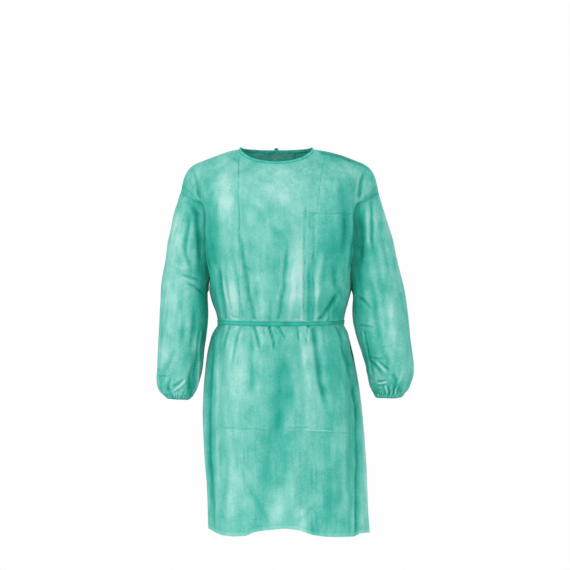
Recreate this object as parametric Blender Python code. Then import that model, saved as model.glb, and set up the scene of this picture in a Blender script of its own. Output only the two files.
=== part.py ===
"""Disposable gown as it is worn: a belted, back opening gown with long sleeves.

Metres, +Z up, the front faces -Y. The origin is at the shoulders, where the wearer holds it up.
The outline tables are read in steps of STEP_M, seen from the front by an eye EYE_M away, counted
from the left and from the top. Depths are in millimetres behind the shoulder line.
"""
import math

import bpy
import numpy as np

STEP_M = 1.0 / 375.0
EYE_M = 4.0
EYE_DOWN = 285.0
ORIGIN_ACROSS = 280.0
ORIGIN_DOWN = 149.0
MM = 0.001

WALL = 1.5 * MM
SEAM_GAP = 0.3 * MM
# Stations count the columns of a panel from the centre (0) to the side seam or armhole (7).
LAST_STATION = 7.0
NECK_STATION = 2.0
BACK_MIDDLE_STATION = 3.0
FINE_COLUMNS = 561
LAP_STATION = 1.7
LAP_OUT = 4.0 * MM
LAP_WIDTH = (48.0 * MM, 92.0 * MM)
LAP_EASE = 1.3
BACK_SHARE = 0.92

# Angle round the body at which each station stands, from the front or the back (90) to the side.
STATION_ANGLE = (90.0, 72.0, 54.0, 37.0, 24.0, 15.0, 7.0, 0.0)
CELLS_PER_STATION = (3, 3, 3, 3, 2, 2, 1)
FULLNESS = 0.10

# Level sections: down, left edge, right edge, depth in front, depth behind.
RINGS = (
    (533.0, 208.5, 369.3, 150.0, 150.0),
    (500.0, 207.0, 367.0, 150.0, 150.0),
    (460.0, 204.0, 366.0, 149.0, 150.0),
    (430.0, 203.0, 364.0, 148.0, 149.0),
    (400.0, 202.0, 361.0, 145.0, 146.0),
    (372.0, 204.8, 356.6, 137.0, 137.0),
    (347.0, 209.3, 351.3, 126.0, 118.0),
    (332.0, 213.4, 347.2, 117.0, 102.0),
    (325.5, 217.2, 344.4, 112.0, 94.0),
    (318.5, 217.2, 344.4, 112.0, 94.0),
    (312.0, 216.2, 345.0, 118.0, 101.0),
    (303.0, 213.0, 347.5, 123.0, 108.0),
    (290.0, 209.7, 350.4, 127.0, 114.0),
)

# Sections over the armhole: down at the row, then across, down and depth of the eight stations.
UPPER = (
    (268.0, ((280.0, 268.0, 131.0), (256.5, 268.0, 127.0), (234.5, 268.0, 114.0),
             (216.5, 268.0, 90.0), (207.8, 268.0, 62.0), (208.0, 268.0, 48.0),
             (209.8, 268.0, 35.0), (212.0, 268.0, 24.0))),
    (243.0, ((280.0, 243.0, 135.0), (255.5, 243.0, 131.0), (232.5, 243.0, 121.0),
             (214.0, 243.0, 99.0), (205.2, 243.0, 76.0), (205.6, 243.0, 62.0),
             (208.0, 243.0, 51.0), (211.0, 243.0, 42.0))),
    (203.0, ((279.5, 203.0, 130.0), (254.0, 203.0, 126.0), (234.5, 203.0, 119.0),
             (218.0, 203.0, 105.0), (209.5, 203.0, 88.0), (205.5, 203.0, 72.0),
             (203.3, 203.3, 65.0), (202.0, 203.6, 60.0))),
    (188.0, ((277.0, 187.0, 116.0), (252.0, 186.0, 112.0), (234.0, 183.0, 104.0),
             (217.0, 184.0, 92.0), (207.0, 187.5, 80.0), (200.3, 191.5, 56.0),
             (197.0, 196.0, 58.0), (194.5, 199.8, 52.0))),
    (172.0, ((276.5, 173.0, 92.0), (251.0, 171.5, 84.0), (236.0, 166.0, 64.0),
             (218.0, 167.0, 62.0), (203.5, 172.5, 56.0), (195.8, 178.0, 38.0),
             (188.5, 184.5, 40.0), (187.5, 195.7, 33.0))),
)
# The centre of the back, station 0 to 2, where it differs: down and depth by row.
UPPER_BACK = {
    268.0: ((268.0, 118.0), (268.0, 115.0), (268.0, 105.0)),
    243.0: ((243.0, 120.0), (243.0, 117.0), (243.0, 108.0)),
    203.0: ((203.0, 114.0), (203.0, 111.0), (203.0, 106.0)),
    188.0: ((184.0, 104.0), (184.0, 100.0), (183.0, 94.0)),
    172.0: ((166.0, 84.0), (165.5, 78.0), (164.0, 62.0)),
}
# Shoulder line from the neck (station 2) over the shoulder's tip (5) to the sleeve seam (7).
RIDGE = (
    (2.0, 239.3, 149.4), (2.5, 229.5, 151.4), (3.0, 219.5, 154.8), (3.5, 211.0, 158.0),
    (4.0, 202.5, 161.3), (4.5, 196.0, 164.0), (5.0, 190.3, 167.9), (5.5, 186.5, 173.0),
    (6.0, 184.0, 178.5), (6.5, 182.4, 185.0), (7.0, 181.2, 191.8),
)
# How the cloth leaves that line: station, outward, depth and down in millimetres.
RIDGE_FALL = (
    (0.0, 0.0, 9.0, 9.0), (1.0, 6.5, 6.5, 9.0), (1.5, 9.0, 5.0, 8.5), (2.0, 9.0, 15.0, 7.0),
    (2.5, 3.0, 19.0, 5.5), (3.0, 0.0, 20.0, 5.0), (4.0, 0.0, 20.0, 5.0), (5.0, -2.0, 19.0, 4.5),
    (6.0, -3.0, 18.0, 1.5), (7.0, -6.0, 15.0, 4.0),
)
NAPE_FALL_SHARE = 0.6
RIDGE_ROW = 154.0
FALL_ROW = 160.0
UNDERARM_ROW = 290.0
NECK_ACROSS = 276.3
NECK_HALF = 37.0
NECK_DROP_FRONT = 14.2
NECK_DROP_BACK = 1.5
NECK_DEPTH_FRONT = 70.0
NECK_DEPTH_BACK = 64.0
NECK_MIDDLE_BLEND = (1.8, 3.2)
NECK_RIDGE_BLEND = (2.0, 3.2)
NECK_LEAN_ROW = 243.0
NECK_STATION_ANGLE = 45.0
BODY_ACROSS = 279.7
# Height of the hem's front and back over its lowest ring, in millimetres.
HEM_LIFT_FRONT = 30.0
HEM_LIFT_BACK = 12.0
HEM_LIFT_FADE = 330.0
HEM_LEAN = 10.0

# Sleeve sections: blend from the armhole, outer edge, inner edge, half depth, middle's depth.
SLEEVE_RIGHT_ARM = (
    (0.60, 175.8, 206.0, 205.4, 297.0, 62.0, 0.0),
    (0.80, 170.3, 227.0, 206.6, 303.0, 63.0, 0.0),
    (0.92, 165.3, 252.0, 207.8, 309.0, 63.0, -2.0),
    (1.00, 161.9, 280.0, 208.3, 316.0, 62.0, -4.0),
    (1.00, 160.7, 308.0, 207.7, 328.0, 60.0, -8.0),
    (1.00, 159.2, 334.0, 205.5, 343.0, 58.0, -12.0),
    (1.00, 158.0, 356.0, 203.2, 359.0, 56.0, -16.0),
    (1.00, 157.2, 374.0, 200.8, 375.0, 54.0, -20.0),
    (1.00, 158.2, 384.0, 198.8, 385.5, 50.0, -22.0),
    (1.00, 161.2, 390.5, 195.3, 392.0, 42.0, -24.0),
    (1.00, 165.3, 393.8, 191.3, 395.3, 33.5, -25.0),
)
SLEEVE_LEFT_ARM = (
    (0.60, 383.6, 206.0, 354.6, 297.0, 62.0, 0.0),
    (0.80, 389.2, 227.0, 353.4, 303.0, 63.0, 0.0),
    (0.92, 395.8, 252.0, 352.0, 309.0, 64.0, -2.0),
    (1.00, 401.3, 280.0, 351.6, 315.0, 64.0, -4.0),
    (1.00, 406.2, 308.0, 352.6, 325.0, 62.0, -8.0),
    (1.00, 410.0, 334.0, 356.8, 340.0, 61.0, -12.0),
    (1.00, 412.6, 356.0, 362.6, 357.0, 59.0, -16.0),
    (1.00, 412.3, 373.0, 366.6, 373.0, 57.0, -20.0),
    (1.00, 409.3, 383.0, 368.8, 383.5, 52.0, -22.0),
    (1.00, 405.3, 389.5, 371.2, 390.0, 44.0, -24.0),
    (1.00, 402.4, 392.6, 373.6, 393.2, 36.0, -25.0),
)
# The sleeve lies over the panels' edge where it turns by more than these degrees, and round the
# lower part of the armhole, counted from its top.
SEAM_TURN = (15.0, 45.0)
SEAM_LOW = (105.0, 135.0)
SEAM_EASE = 2.4 * MM
SEAM_OVER = 1.5
ARMHOLE_STATIONS = (6.9, 7.0)
CUFF_DROP = 9.0 * MM
CUFF_WALL = 2.0 * MM
CUFF_HALF = 32.0 * MM
CUFF_PINCH = 2.0 * MM
CUFF_RIPPLE = 0.35 * MM
GATHER_DEPTH = 1.6 * MM
GATHER_ROWS = 3

# Main folds in the outline's steps: from, to, half width, depth in millimetres (out is negative).
FOLDS_FRONT = (
    ((308.8, 316.0), (308.5, 236.0), 8.0, 7.0),
    ((253.5, 316.0), (240.0, 234.0), 8.0, 5.0),
    ((226.0, 316.0), (219.0, 262.0), 7.0, 5.0),
    ((281.0, 316.0), (289.0, 246.0), 8.0, 4.0),
    ((322.0, 316.0), (340.0, 290.0), 7.0, 4.0),
    ((314.0, 330.0), (328.0, 412.0), 9.0, 7.0),
    ((256.0, 330.0), (252.0, 398.0), 9.0, 5.0),
    ((350.0, 336.0), (357.4, 524.0), 7.0, 7.0),
    ((221.0, 336.0), (213.0, 524.0), 7.0, 6.0),
    ((284.0, 330.0), (290.0, 372.0), 8.0, 3.5),
)
FOLDS_BACK = (
    ((246.0, 316.0), (234.0, 236.0), 9.0, 6.0),
    ((316.0, 316.0), (328.0, 240.0), 9.0, 6.0),
    ((232.0, 332.0), (222.0, 520.0), 9.0, 8.0),
    ((330.0, 332.0), (342.0, 520.0), 9.0, 8.0),
    ((258.0, 330.0), (250.0, 440.0), 9.0, 6.0),
    ((306.0, 330.0), (316.0, 430.0), 9.0, 6.0),
)

# Shares of a fold's length over which it starts and fades.
FOLD_START = (-0.05, 0.12)
FOLD_END = (0.55, 1.0)

# Rows at which the panels are cut, from the hem to the neck.
MESH_ROWS = (
    533.0, 510.0, 483.0, 454.0, 426.0, 400.0, 377.0, 357.0, 343.0, 332.0, 325.5, 318.5, 312.0,
    303.0, 290.0, 277.0, 262.0, 246.0, 231.0, 216.0, 203.0, 191.0, 180.0, 170.0, 160.0, 154.0,
)

BELT_HEIGHT = 12.5 * MM
BELT_WALL = 1.8 * MM
BELT_DOWN = 322.0
BELT_CLEAR = 1.7 * MM
BELT_POINTS = 72
BELT_FINE_POINTS = 400
BELT_SIDE_COLUMNS = 140
BELT_ROW_STEP = 2.0
BELT_RISE_RIGHT = (-2.6, -1.6)
BELT_RISE_LEFT = (2.6, 3.6)
BINDING_HEIGHT = 6.5 * MM
BINDING_WALL = 2.4 * MM
BINDING_GAP = 1.5 * MM
BINDING_POINTS = 56
BINDING_COLUMNS = 81
BINDING_LEAST_RISE = 0.75
BINDING_EVENINGS = 6
KNOT_WIDTH = 17.0 * MM
KNOT_HEIGHT = 18.0 * MM
KNOT_THICK = 11.0 * MM
KNOT_RINGS = 9
KNOT_SIDES = 14
KNOT_RIPPLE = 0.10
KNOT_RIPPLES = 3
KNOT_TWIST = 2.0
KNOT_ROOM = 1.12
KNOT_SINK = 0.4
NECK_KNOT_SHARE = 0.72
NECK_KNOT_LIFT = 4.5 * MM
TIE_WALL = 1.5 * MM
TIE_UNDER_KNOT = 0.35
TIE_PINCH = 0.42
TIE_PINCH_LENGTH = 0.15
TIE_COLUMNS = 61
BELT_TIE_LENGTH = 0.34
BELT_TIE_SHORTER = 0.94
BELT_TIE_SPREAD = (26.0 * MM, 17.0 * MM)
NECK_TIE_LENGTH = 0.19
NECK_TIE_SHORTER = 0.9
NECK_TIE_SPREAD = (15.0 * MM, 11.0 * MM)
NECK_TIE_WIDTH = 8.5 * MM
TIE_CLEAR = 5.0 * MM
TIE_SWAY = 4.0 * MM
TIE_SWAY_TURN = 5.0
TIE_SETTLE = 6.0
TIE_POINTS = 16

NONWOVEN_COLOUR = (0.17, 0.54, 0.47, 1.0)
NONWOVEN_ROUGHNESS = 0.75
TRIM_COLOUR = (0.05, 0.45, 0.36, 1.0)
TRIM_ROUGHNESS = 0.7


def clear_scene():
    for thing in list(bpy.data.objects):
        bpy.data.objects.remove(thing, do_unlink=True)


def smooth(low, high, value):
    share = np.clip((value - low) / (high - low), 0.0, 1.0)
    return share * share * (3.0 - 2.0 * share)


def place(across, down, depth_mm, seen=True):
    """Turn outline steps and a depth (mm, front is negative) into metres."""
    depth = np.asarray(depth_mm) * MM
    near = (EYE_M + depth) / EYE_M if seen else np.ones_like(depth)
    x = (np.asarray(across) - ORIGIN_ACROSS) * STEP_M * near
    eye_z = (ORIGIN_DOWN - EYE_DOWN) * STEP_M
    z = eye_z + (EYE_DOWN - np.asarray(down)) * STEP_M * near
    return np.stack(np.broadcast_arrays(x, depth, z), axis=-1)


def seen_from_front(points):
    """Outline steps at which the eye sees points in metres."""
    near = EYE_M / (EYE_M + points[..., 1])
    eye_z = (ORIGIN_DOWN - EYE_DOWN) * STEP_M
    across = ORIGIN_ACROSS + points[..., 0] * near / STEP_M
    down = EYE_DOWN - (points[..., 2] - eye_z) * near / STEP_M
    return across, down


def curve(knots, values, wanted):
    """Smooth curve through values at unevenly spaced knots, read at the wanted places."""
    knots = np.asarray(knots, float)
    values = np.asarray(values, float)
    wanted = np.atleast_1d(np.asarray(wanted, float))
    step = np.diff(knots)
    slope = np.diff(values, axis=0) / step.reshape((-1,) + (1,) * (values.ndim - 1))
    tangent = np.empty_like(values)
    tangent[0] = slope[0]
    tangent[-1] = slope[-1]
    for i in range(1, len(knots) - 1):
        tangent[i] = (slope[i - 1] * step[i] + slope[i] * step[i - 1]) / (step[i - 1] + step[i])
    index = np.clip(np.searchsorted(knots, wanted, side="right") - 1, 0, len(knots) - 2)
    share = (wanted - knots[index]) / step[index]
    share = np.clip(share, 0.0, 1.0).reshape((-1,) + (1,) * (values.ndim - 1))
    width = step[index].reshape(share.shape)
    a, b = values[index], values[index + 1]
    ta, tb = tangent[index] * width, tangent[index + 1] * width
    s2, s3 = share * share, share * share * share
    return ((2 * s3 - 3 * s2 + 1) * a + (s3 - 2 * s2 + share) * ta
            + (3 * s2 - 2 * s3) * b + (s3 - s2) * tb)


def ring_row(ring, station, back):
    """A level section: an ellipse a little fuller at its corners."""
    down, left, right, front_depth, back_depth = ring
    numbers = range(len(STATION_ANGLE))
    angle = np.radians(np.interp(np.abs(station), numbers, STATION_ANGLE))
    centre, half = (left + right) / 2.0, (right - left) / 2.0
    across = centre + np.sign(station) * half * np.cos(angle) * (
        1.0 + FULLNESS * np.sin(angle) ** 2)
    reach = np.sin(angle) * (1.0 + FULLNESS * np.cos(angle) ** 2)
    depth = back_depth * reach if back else -front_depth * reach
    points = place(across, np.full_like(across, down), depth, seen=False)
    fade = np.clip(1.0 - (RINGS[0][0] - down) / (RINGS[0][0] - HEM_LIFT_FADE), 0.0, 1.0)
    lift = HEM_LIFT_BACK if back else HEM_LIFT_FRONT
    lean = HEM_LEAN / 2.0 * station / LAST_STATION
    points[:, 2] += fade * MM * (lift * np.sin(angle) ** 2 - lean)
    return points


def middle_of(station, neck):
    """Where a row's middle lies; over the chest it leans to the neck's own middle."""
    share = smooth(*NECK_MIDDLE_BLEND, np.abs(station))
    leaning = BODY_ACROSS + (NECK_ACROSS - BODY_ACROSS) * neck
    return leaning * (1.0 - share) + BODY_ACROSS * share


def upper_row(row, station, back):
    """A section over the armhole, from its eight stations and their mirror images."""
    down_row, stations = row
    table = np.array(stations)
    if back:
        for i, (down, depth) in enumerate(UPPER_BACK[down_row]):
            table[i, 1:] = down, depth / BACK_SHARE
        table[:, 2] *= -BACK_SHARE
    reach = BODY_ACROSS - table[:, 0]
    reach[0] = 0.0
    neck = np.clip((NECK_LEAN_ROW - down_row) / (NECK_LEAN_ROW - RIDGE_ROW), 0.0, 1.0)
    numbers = np.arange(LAST_STATION + 1.0)
    left = place(middle_of(numbers, neck) - reach, table[:, 1], -table[:, 2], not back)
    right = place(middle_of(numbers, neck) + reach, table[:, 1], -table[:, 2], not back)
    points = np.concatenate([left[::-1], right[1:]])
    return curve(np.arange(-LAST_STATION, LAST_STATION + 1.0), points, station)


def top_row(station, back):
    """The neckline and, past NECK_STATION, the shoulder line."""
    size, sign = np.abs(station), np.where(station < 0.0, -1.0, 1.0)
    angle = np.radians(np.clip(size, 0.0, NECK_STATION) * NECK_STATION_ANGLE)
    drop = NECK_DROP_BACK if back else NECK_DROP_FRONT
    reach = NECK_DEPTH_BACK if back else -NECK_DEPTH_FRONT
    neck = place(NECK_ACROSS + sign * NECK_HALF * np.sin(angle),
                 RIDGE[0][2] + drop * np.cos(angle), reach * np.cos(angle), not back)
    ridge = np.array(RIDGE)
    line = curve(ridge[:, 0], ridge[:, 1:], np.clip(size, NECK_STATION, LAST_STATION))
    blend = smooth(*NECK_RIDGE_BLEND, size)
    middle = NECK_ACROSS * (1.0 - blend) + BODY_ACROSS * blend
    across = middle + sign * (middle - line[:, 0])
    shoulder = place(across, line[:, 1], np.zeros_like(size))
    return np.where((size <= NECK_STATION)[:, None], neck, shoulder)


def fall_row(station, back):
    """The row just under the neckline and the shoulder line."""
    fall = np.array(RIDGE_FALL)
    offset = curve(fall[:, 0], fall[:, 1:], np.abs(station)) * MM
    sign = np.where(station < 0.0, -1.0, 1.0)
    points = top_row(station, back)
    points[:, 0] += sign * offset[:, 0]
    points[:, 1] += offset[:, 1] * (NAPE_FALL_SHARE if back else -1.0)
    points[:, 2] -= offset[:, 2]
    return points


def fold_depth(across, down, folds):
    """Depth of the folds at places seen from the front: soft troughs that fade at their ends."""
    total = np.zeros_like(across)
    for start, end, half_width, depth in folds:
        ax, ay = start
        bx, by = end
        length2 = (bx - ax) ** 2 + (by - ay) ** 2
        along = ((across - ax) * (bx - ax) + (down - ay) * (by - ay)) / length2
        near = np.clip(along, 0.0, 1.0)
        away = np.hypot(across - ax - near * (bx - ax), down - ay - near * (by - ay))
        trough = np.clip(1.0 - (away / half_width) ** 2, 0.0, 1.0) ** 2
        fade = smooth(*FOLD_START, along) * (1.0 - smooth(*FOLD_END, along))
        total += depth * MM * trough * fade
    return total


def normals_of(grid, closed=False):
    """Unit normals of a grid of points (rows, columns)."""
    if closed:
        across = np.roll(grid, -1, axis=1) - np.roll(grid, 1, axis=1)
    else:
        across = np.gradient(grid, axis=1)
    along = np.gradient(grid, axis=0)
    normal = np.cross(across, along)
    return normal / np.linalg.norm(normal, axis=-1, keepdims=True)


def body_grid(station, rows, back):
    """Middle of the cloth of the front or of the back, at the wanted stations and rows."""
    knots, sections = [], []
    for ring in RINGS:
        knots.append(-ring[0])
        sections.append(ring_row(ring, station, back))
    for row in UPPER:
        knots.append(-row[0])
        sections.append(upper_row(row, station, back))
    knots += [-FALL_ROW, -RIDGE_ROW]
    sections += [fall_row(station, back), top_row(station, back)]
    grid = curve(knots, np.array(sections), -np.asarray(rows))
    normal = normals_of(grid)
    turns = int(back) + int(rows[0] < rows[-1]) + int(station[0] > station[-1])
    if turns % 2:
        normal = -normal
    across, down = seen_from_front(grid)
    folds = FOLDS_BACK if back else FOLDS_FRONT
    return grid - normal * fold_depth(across, down, folds)[..., None], normal


def pull(grid, side, distance):
    """Move one border of a grid towards its neighbours, for the gap of a seam."""
    views = {"first_row": (grid[0], grid[1]), "last_row": (grid[-1], grid[-2]),
             "first_column": (grid[:, 0], grid[:, 1]), "last_column": (grid[:, -1], grid[:, -2])}
    border, inner = views[side]
    way = inner - border
    border += way / np.linalg.norm(way, axis=-1, keepdims=True) * distance


def column_stations(first=-LAST_STATION, last=LAST_STATION):
    """Stations of a panel's columns, closer together where it turns round the body."""
    places = []
    for station, cells in enumerate(CELLS_PER_STATION):
        places += [station + i / cells for i in range(cells)]
    places.append(LAST_STATION)
    both = sorted({-p for p in places} | set(places))
    inside = [p for p in both if first < p < last]
    return np.array([first] + inside + [last])


def new_object(name, points, faces, material):
    mesh = bpy.data.meshes.new(name)
    mesh.from_pydata([tuple(p) for p in points], [], faces)
    mesh.update()
    piece = bpy.data.objects.new(name, mesh)
    bpy.context.scene.collection.objects.link(piece)
    mesh.materials.append(material)
    for polygon in mesh.polygons:
        polygon.use_smooth = True
    mesh.update()
    return piece


def cloth_wall(name, grid, normal, thickness, material, closed=False):
    """Thicken a grid of points to a closed wall; both sides are cut along the same diagonals."""
    rows, columns = grid.shape[:2]
    outer = grid + normal * thickness / 2.0
    inner = grid - normal * thickness / 2.0
    points = np.concatenate([outer.reshape(-1, 3), inner.reshape(-1, 3)])
    shift = rows * columns
    faces = []

    def both(a, b, c):
        faces.append((a, b, c))
        faces.append((c + shift, b + shift, a + shift))

    def rim(a, b):
        faces.append((b, a, a + shift))
        faces.append((b, a + shift, b + shift))

    last = columns if closed else columns - 1
    for i in range(rows - 1):
        for j in range(last):
            k = (j + 1) % columns
            a, b = i * columns + j, i * columns + k
            c, d = (i + 1) * columns + k, (i + 1) * columns + j
            if (i + j) % 2:
                both(a, b, c)
                both(a, c, d)
            else:
                both(a, b, d)
                both(b, c, d)
    for j in range(last):
        k = (j + 1) % columns
        rim(j, k)
        rim((rows - 1) * columns + k, (rows - 1) * columns + j)
    if not closed:
        for i in range(rows - 1):
            rim((i + 1) * columns, i * columns)
            rim(i * columns + columns - 1, (i + 1) * columns + columns - 1)
    if (normals_of(grid, closed) * normal).sum() < 0.0:
        faces = [face[::-1] for face in faces]
    return new_object(name, points, faces, material)


def lap_station(stations, x_row, lap):
    """Station at which a row of the back is a given distance past the centre."""
    centre = np.interp(0.0, stations, x_row)
    return np.interp(centre + lap, x_row, stations)


def back_grid(side, over):
    """Middle of the cloth of one half of the back, which runs past the centre by the lap."""
    rows = np.array(MESH_ROWS)
    stations = np.linspace(-LAST_STATION, LAST_STATION, FINE_COLUMNS)
    fine, fine_normal = body_grid(stations, rows, True)
    base = column_stations(last=LAP_STATION)
    grid = np.empty((len(rows), len(base), 3))
    normal = np.empty_like(grid)
    middle = np.abs(stations) <= BACK_MIDDLE_STATION
    from_side = (base + BACK_MIDDLE_STATION) / (LAP_STATION + BACK_MIDDLE_STATION)
    for i, row in enumerate(rows):
        lap = np.interp(row, (RIDGE_ROW, RINGS[0][0]), LAP_WIDTH)
        x_row = fine[i, middle, 0]
        edge = -side * lap_station(stations[middle], x_row, -side * lap)
        other_edge = -side * lap_station(stations[middle], x_row, side * lap)
        stretched = from_side * (edge + BACK_MIDDLE_STATION) - BACK_MIDDLE_STATION
        reach = np.where(base > -BACK_MIDDLE_STATION, stretched, base)
        wanted = reach * -side
        for k in range(3):
            grid[i, :, k] = np.interp(wanted, stations, fine[i, :, k])
            normal[i, :, k] = np.interp(wanted, stations, fine_normal[i, :, k])
        if over:
            raised = smooth(other_edge - LAP_EASE, other_edge, reach)
            grid[i] += normal[i] * (raised * LAP_OUT)[:, None]
    return grid, normal


def front_panel(material):
    grid, normal = body_grid(column_stations(), np.array(MESH_ROWS), False)
    pull(grid, "first_column", SEAM_GAP)
    pull(grid, "last_column", SEAM_GAP)
    pull(grid, "last_row", SEAM_GAP * 2.0)
    return cloth_wall("front_panel", grid, normal, WALL, material)


def back_panel(name, side, over, material):
    grid, normal = back_grid(side, over)
    pull(grid, "first_column", SEAM_GAP)
    pull(grid, "last_row", SEAM_GAP * 2.0)
    return cloth_wall(name, grid, normal, WALL, material)


def armhole(side):
    """The armhole's edge at the panels' rows, from its top over the front, the underarm and the
    back, with the cloth's way to it, its normal there and the turn round the sleeve."""
    rows = np.array([row for row in reversed(MESH_ROWS) if row <= UNDERARM_ROW])
    halves = []
    for back in (False, True):
        grid, normal = body_grid(np.array(ARMHOLE_STATIONS) * side, rows, back)
        halves.append(np.concatenate([grid[:, 1], grid[:, 1] - grid[:, 0], normal[:, 1]], axis=1))
    front, back = halves
    steps = np.linalg.norm(np.diff(front[:, :3], axis=0), axis=1)
    angle = math.pi * np.concatenate([[0.0], np.cumsum(steps)]) / steps.sum()
    loop = np.concatenate([front, back[-2:0:-1]])
    angle = np.concatenate([angle, 2.0 * math.pi - angle[-2:0:-1]])
    way, normal = loop[:, 3:6], loop[:, 6:]
    way /= np.linalg.norm(way, axis=1, keepdims=True)
    normal /= np.linalg.norm(normal, axis=1, keepdims=True)
    return loop[:, :3], way, normal, angle


def sleeve_rings(side, table):
    """Rings of a sleeve, from its armhole to the wrist; each starts at the outer edge."""
    seam, out, normal, angle = armhole(side)
    rings = []
    for blend, outer_x, outer_z, inner_x, inner_z, half_depth, depth in table:
        share = (1.0 - np.cos(angle)) / 2.0
        across = outer_x + (inner_x - outer_x) * share
        down = outer_z + (inner_z - outer_z) * share
        ring = place(across, down, depth - half_depth * np.sin(angle), seen=False)
        rings.append(seam + (ring - seam) * blend)
    way = rings[0] - seam
    way /= np.linalg.norm(way, axis=1, keepdims=True)
    turn = np.degrees(np.arccos(np.clip((way * out).sum(axis=1), -1.0, 1.0)))
    low = np.degrees(np.pi - np.abs(angle - np.pi))
    folded = np.maximum(smooth(*SEAM_TURN, turn), smooth(*SEAM_LOW, low))[:, None]
    ease = SEAM_EASE * smooth(*SEAM_LOW, low)[:, None]
    first = (seam + way * SEAM_GAP * (2.0 - folded)
             + normal * (folded * (WALL + SEAM_GAP * SEAM_OVER) + ease))
    return np.array([first] + rings)


def sleeve(name, side, table, material):
    """A sleeve, pleated at its wrist; returns its rings before the pleats."""
    rings = sleeve_rings(side, table)
    grid = rings.copy()
    normal = normals_of(grid, closed=True) * side
    pleat = np.where(np.arange(rings.shape[1]) % 2, 1.0, -1.0)
    for i in range(GATHER_ROWS):
        depth = GATHER_DEPTH * (1.0 - i / GATHER_ROWS)
        grid[-1 - i] += normal[-1 - i] * (pleat * depth)[:, None]
    cloth_wall(name, grid, normal, WALL, material, closed=True)
    return rings


def cuff(name, rings, side, material):
    """The casing at the wrist, gathered on its elastic, just past the sleeve's end."""
    fall = rings[-1].mean(axis=0) - rings[-3].mean(axis=0)
    fall /= np.linalg.norm(fall)
    base = rings[-1]
    centre = base.mean(axis=0)
    rows = []
    pleat = np.where(np.arange(len(base)) % 2, 1.0, -1.0)
    for share in (0.0, 0.5, 1.0):
        row = centre + (base - centre) * (1.0 - CUFF_PINCH * share / CUFF_HALF)
        away = base - centre
        away /= np.linalg.norm(away, axis=1, keepdims=True)
        row = row + away * (pleat * CUFF_RIPPLE * share)[:, None]
        rows.append(row + fall * (GATHER_DEPTH + SEAM_GAP + share * CUFF_DROP))
    grid = np.array(rows)
    cloth_wall(name, grid, normals_of(grid, closed=True) * side, CUFF_WALL, material, closed=True)


def belt_line(down, lift):
    """A level line round the body, from the centre back over the right side and the front."""
    rows = down + np.array([-1.0, 0.0, 1.0]) * BELT_ROW_STEP
    half = np.linspace(0.0, LAST_STATION, BELT_SIDE_COLUMNS + 1)
    whole = np.linspace(-LAST_STATION, LAST_STATION, BELT_SIDE_COLUMNS * 2 + 1)
    parts = []
    for back, stations in ((True, -half), (False, whole[1:-1]), (True, half[::-1])):
        order = np.argsort(stations)
        grid, normal = body_grid(stations[order], rows, back)
        line = grid[1] + normal[1] * lift
        if back:
            rise = smooth(*BELT_RISE_RIGHT, stations[order])
            fall = 1.0 - smooth(*BELT_RISE_LEFT, stations[order])
            line += normal[1] * (rise * fall * LAP_OUT)[:, None]
        parts.append(line[np.argsort(order)])
    return np.concatenate(parts)


def evened(line, count):
    """The same line with evenly spaced points."""
    run = np.concatenate([[0.0], np.cumsum(np.linalg.norm(np.diff(line, axis=0), axis=1))])
    wanted = np.linspace(0.0, run[-1], count)
    return np.stack([np.interp(wanted, run, line[:, k]) for k in range(3)], axis=1)


def across_of(line):
    """Level unit vectors that point out from a line round the body, counted from above."""
    way = np.gradient(line, axis=0)
    out = np.stack([way[:, 1], -way[:, 0], np.zeros(len(line))], axis=1)
    out /= np.linalg.norm(out, axis=1, keepdims=True)
    centre = line.mean(axis=0)
    if ((line - centre) * out).sum() < 0.0:
        out = -out
    return out


def knot(name, centre, share, material):
    """A pulled tight knot: a rounded barrel with shallow twisted ripples."""
    rows, columns = KNOT_RINGS, KNOT_SIDES
    points = [centre + np.array([0.0, 0.0, KNOT_HEIGHT / 2.0 * share])]
    for i in range(1, rows):
        polar = math.pi * i / rows
        for j in range(columns):
            turn = 2.0 * math.pi * j / columns
            ripple = 1.0 + KNOT_RIPPLE * math.cos(KNOT_RIPPLES * turn + KNOT_TWIST * polar)
            points.append(centre + share * np.array([
                KNOT_WIDTH / 2.0 * math.sin(polar) * math.cos(turn) * ripple,
                KNOT_THICK / 2.0 * math.sin(polar) * math.sin(turn) * ripple,
                KNOT_HEIGHT / 2.0 * math.cos(polar)]))
    points.append(centre - np.array([0.0, 0.0, KNOT_HEIGHT / 2.0 * share]))
    faces = []
    for j in range(columns):
        k = (j + 1) % columns
        faces.append((0, 1 + j, 1 + k))
        bottom = 1 + (rows - 2) * columns
        faces.append((len(points) - 1, bottom + k, bottom + j))
        for i in range(rows - 2):
            a, b = 1 + i * columns + j, 1 + i * columns + k
            c, d = a + columns, b + columns
            faces.append((a, c, b))
            faces.append((b, c, d))
    return new_object(name, points, faces, material)


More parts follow.
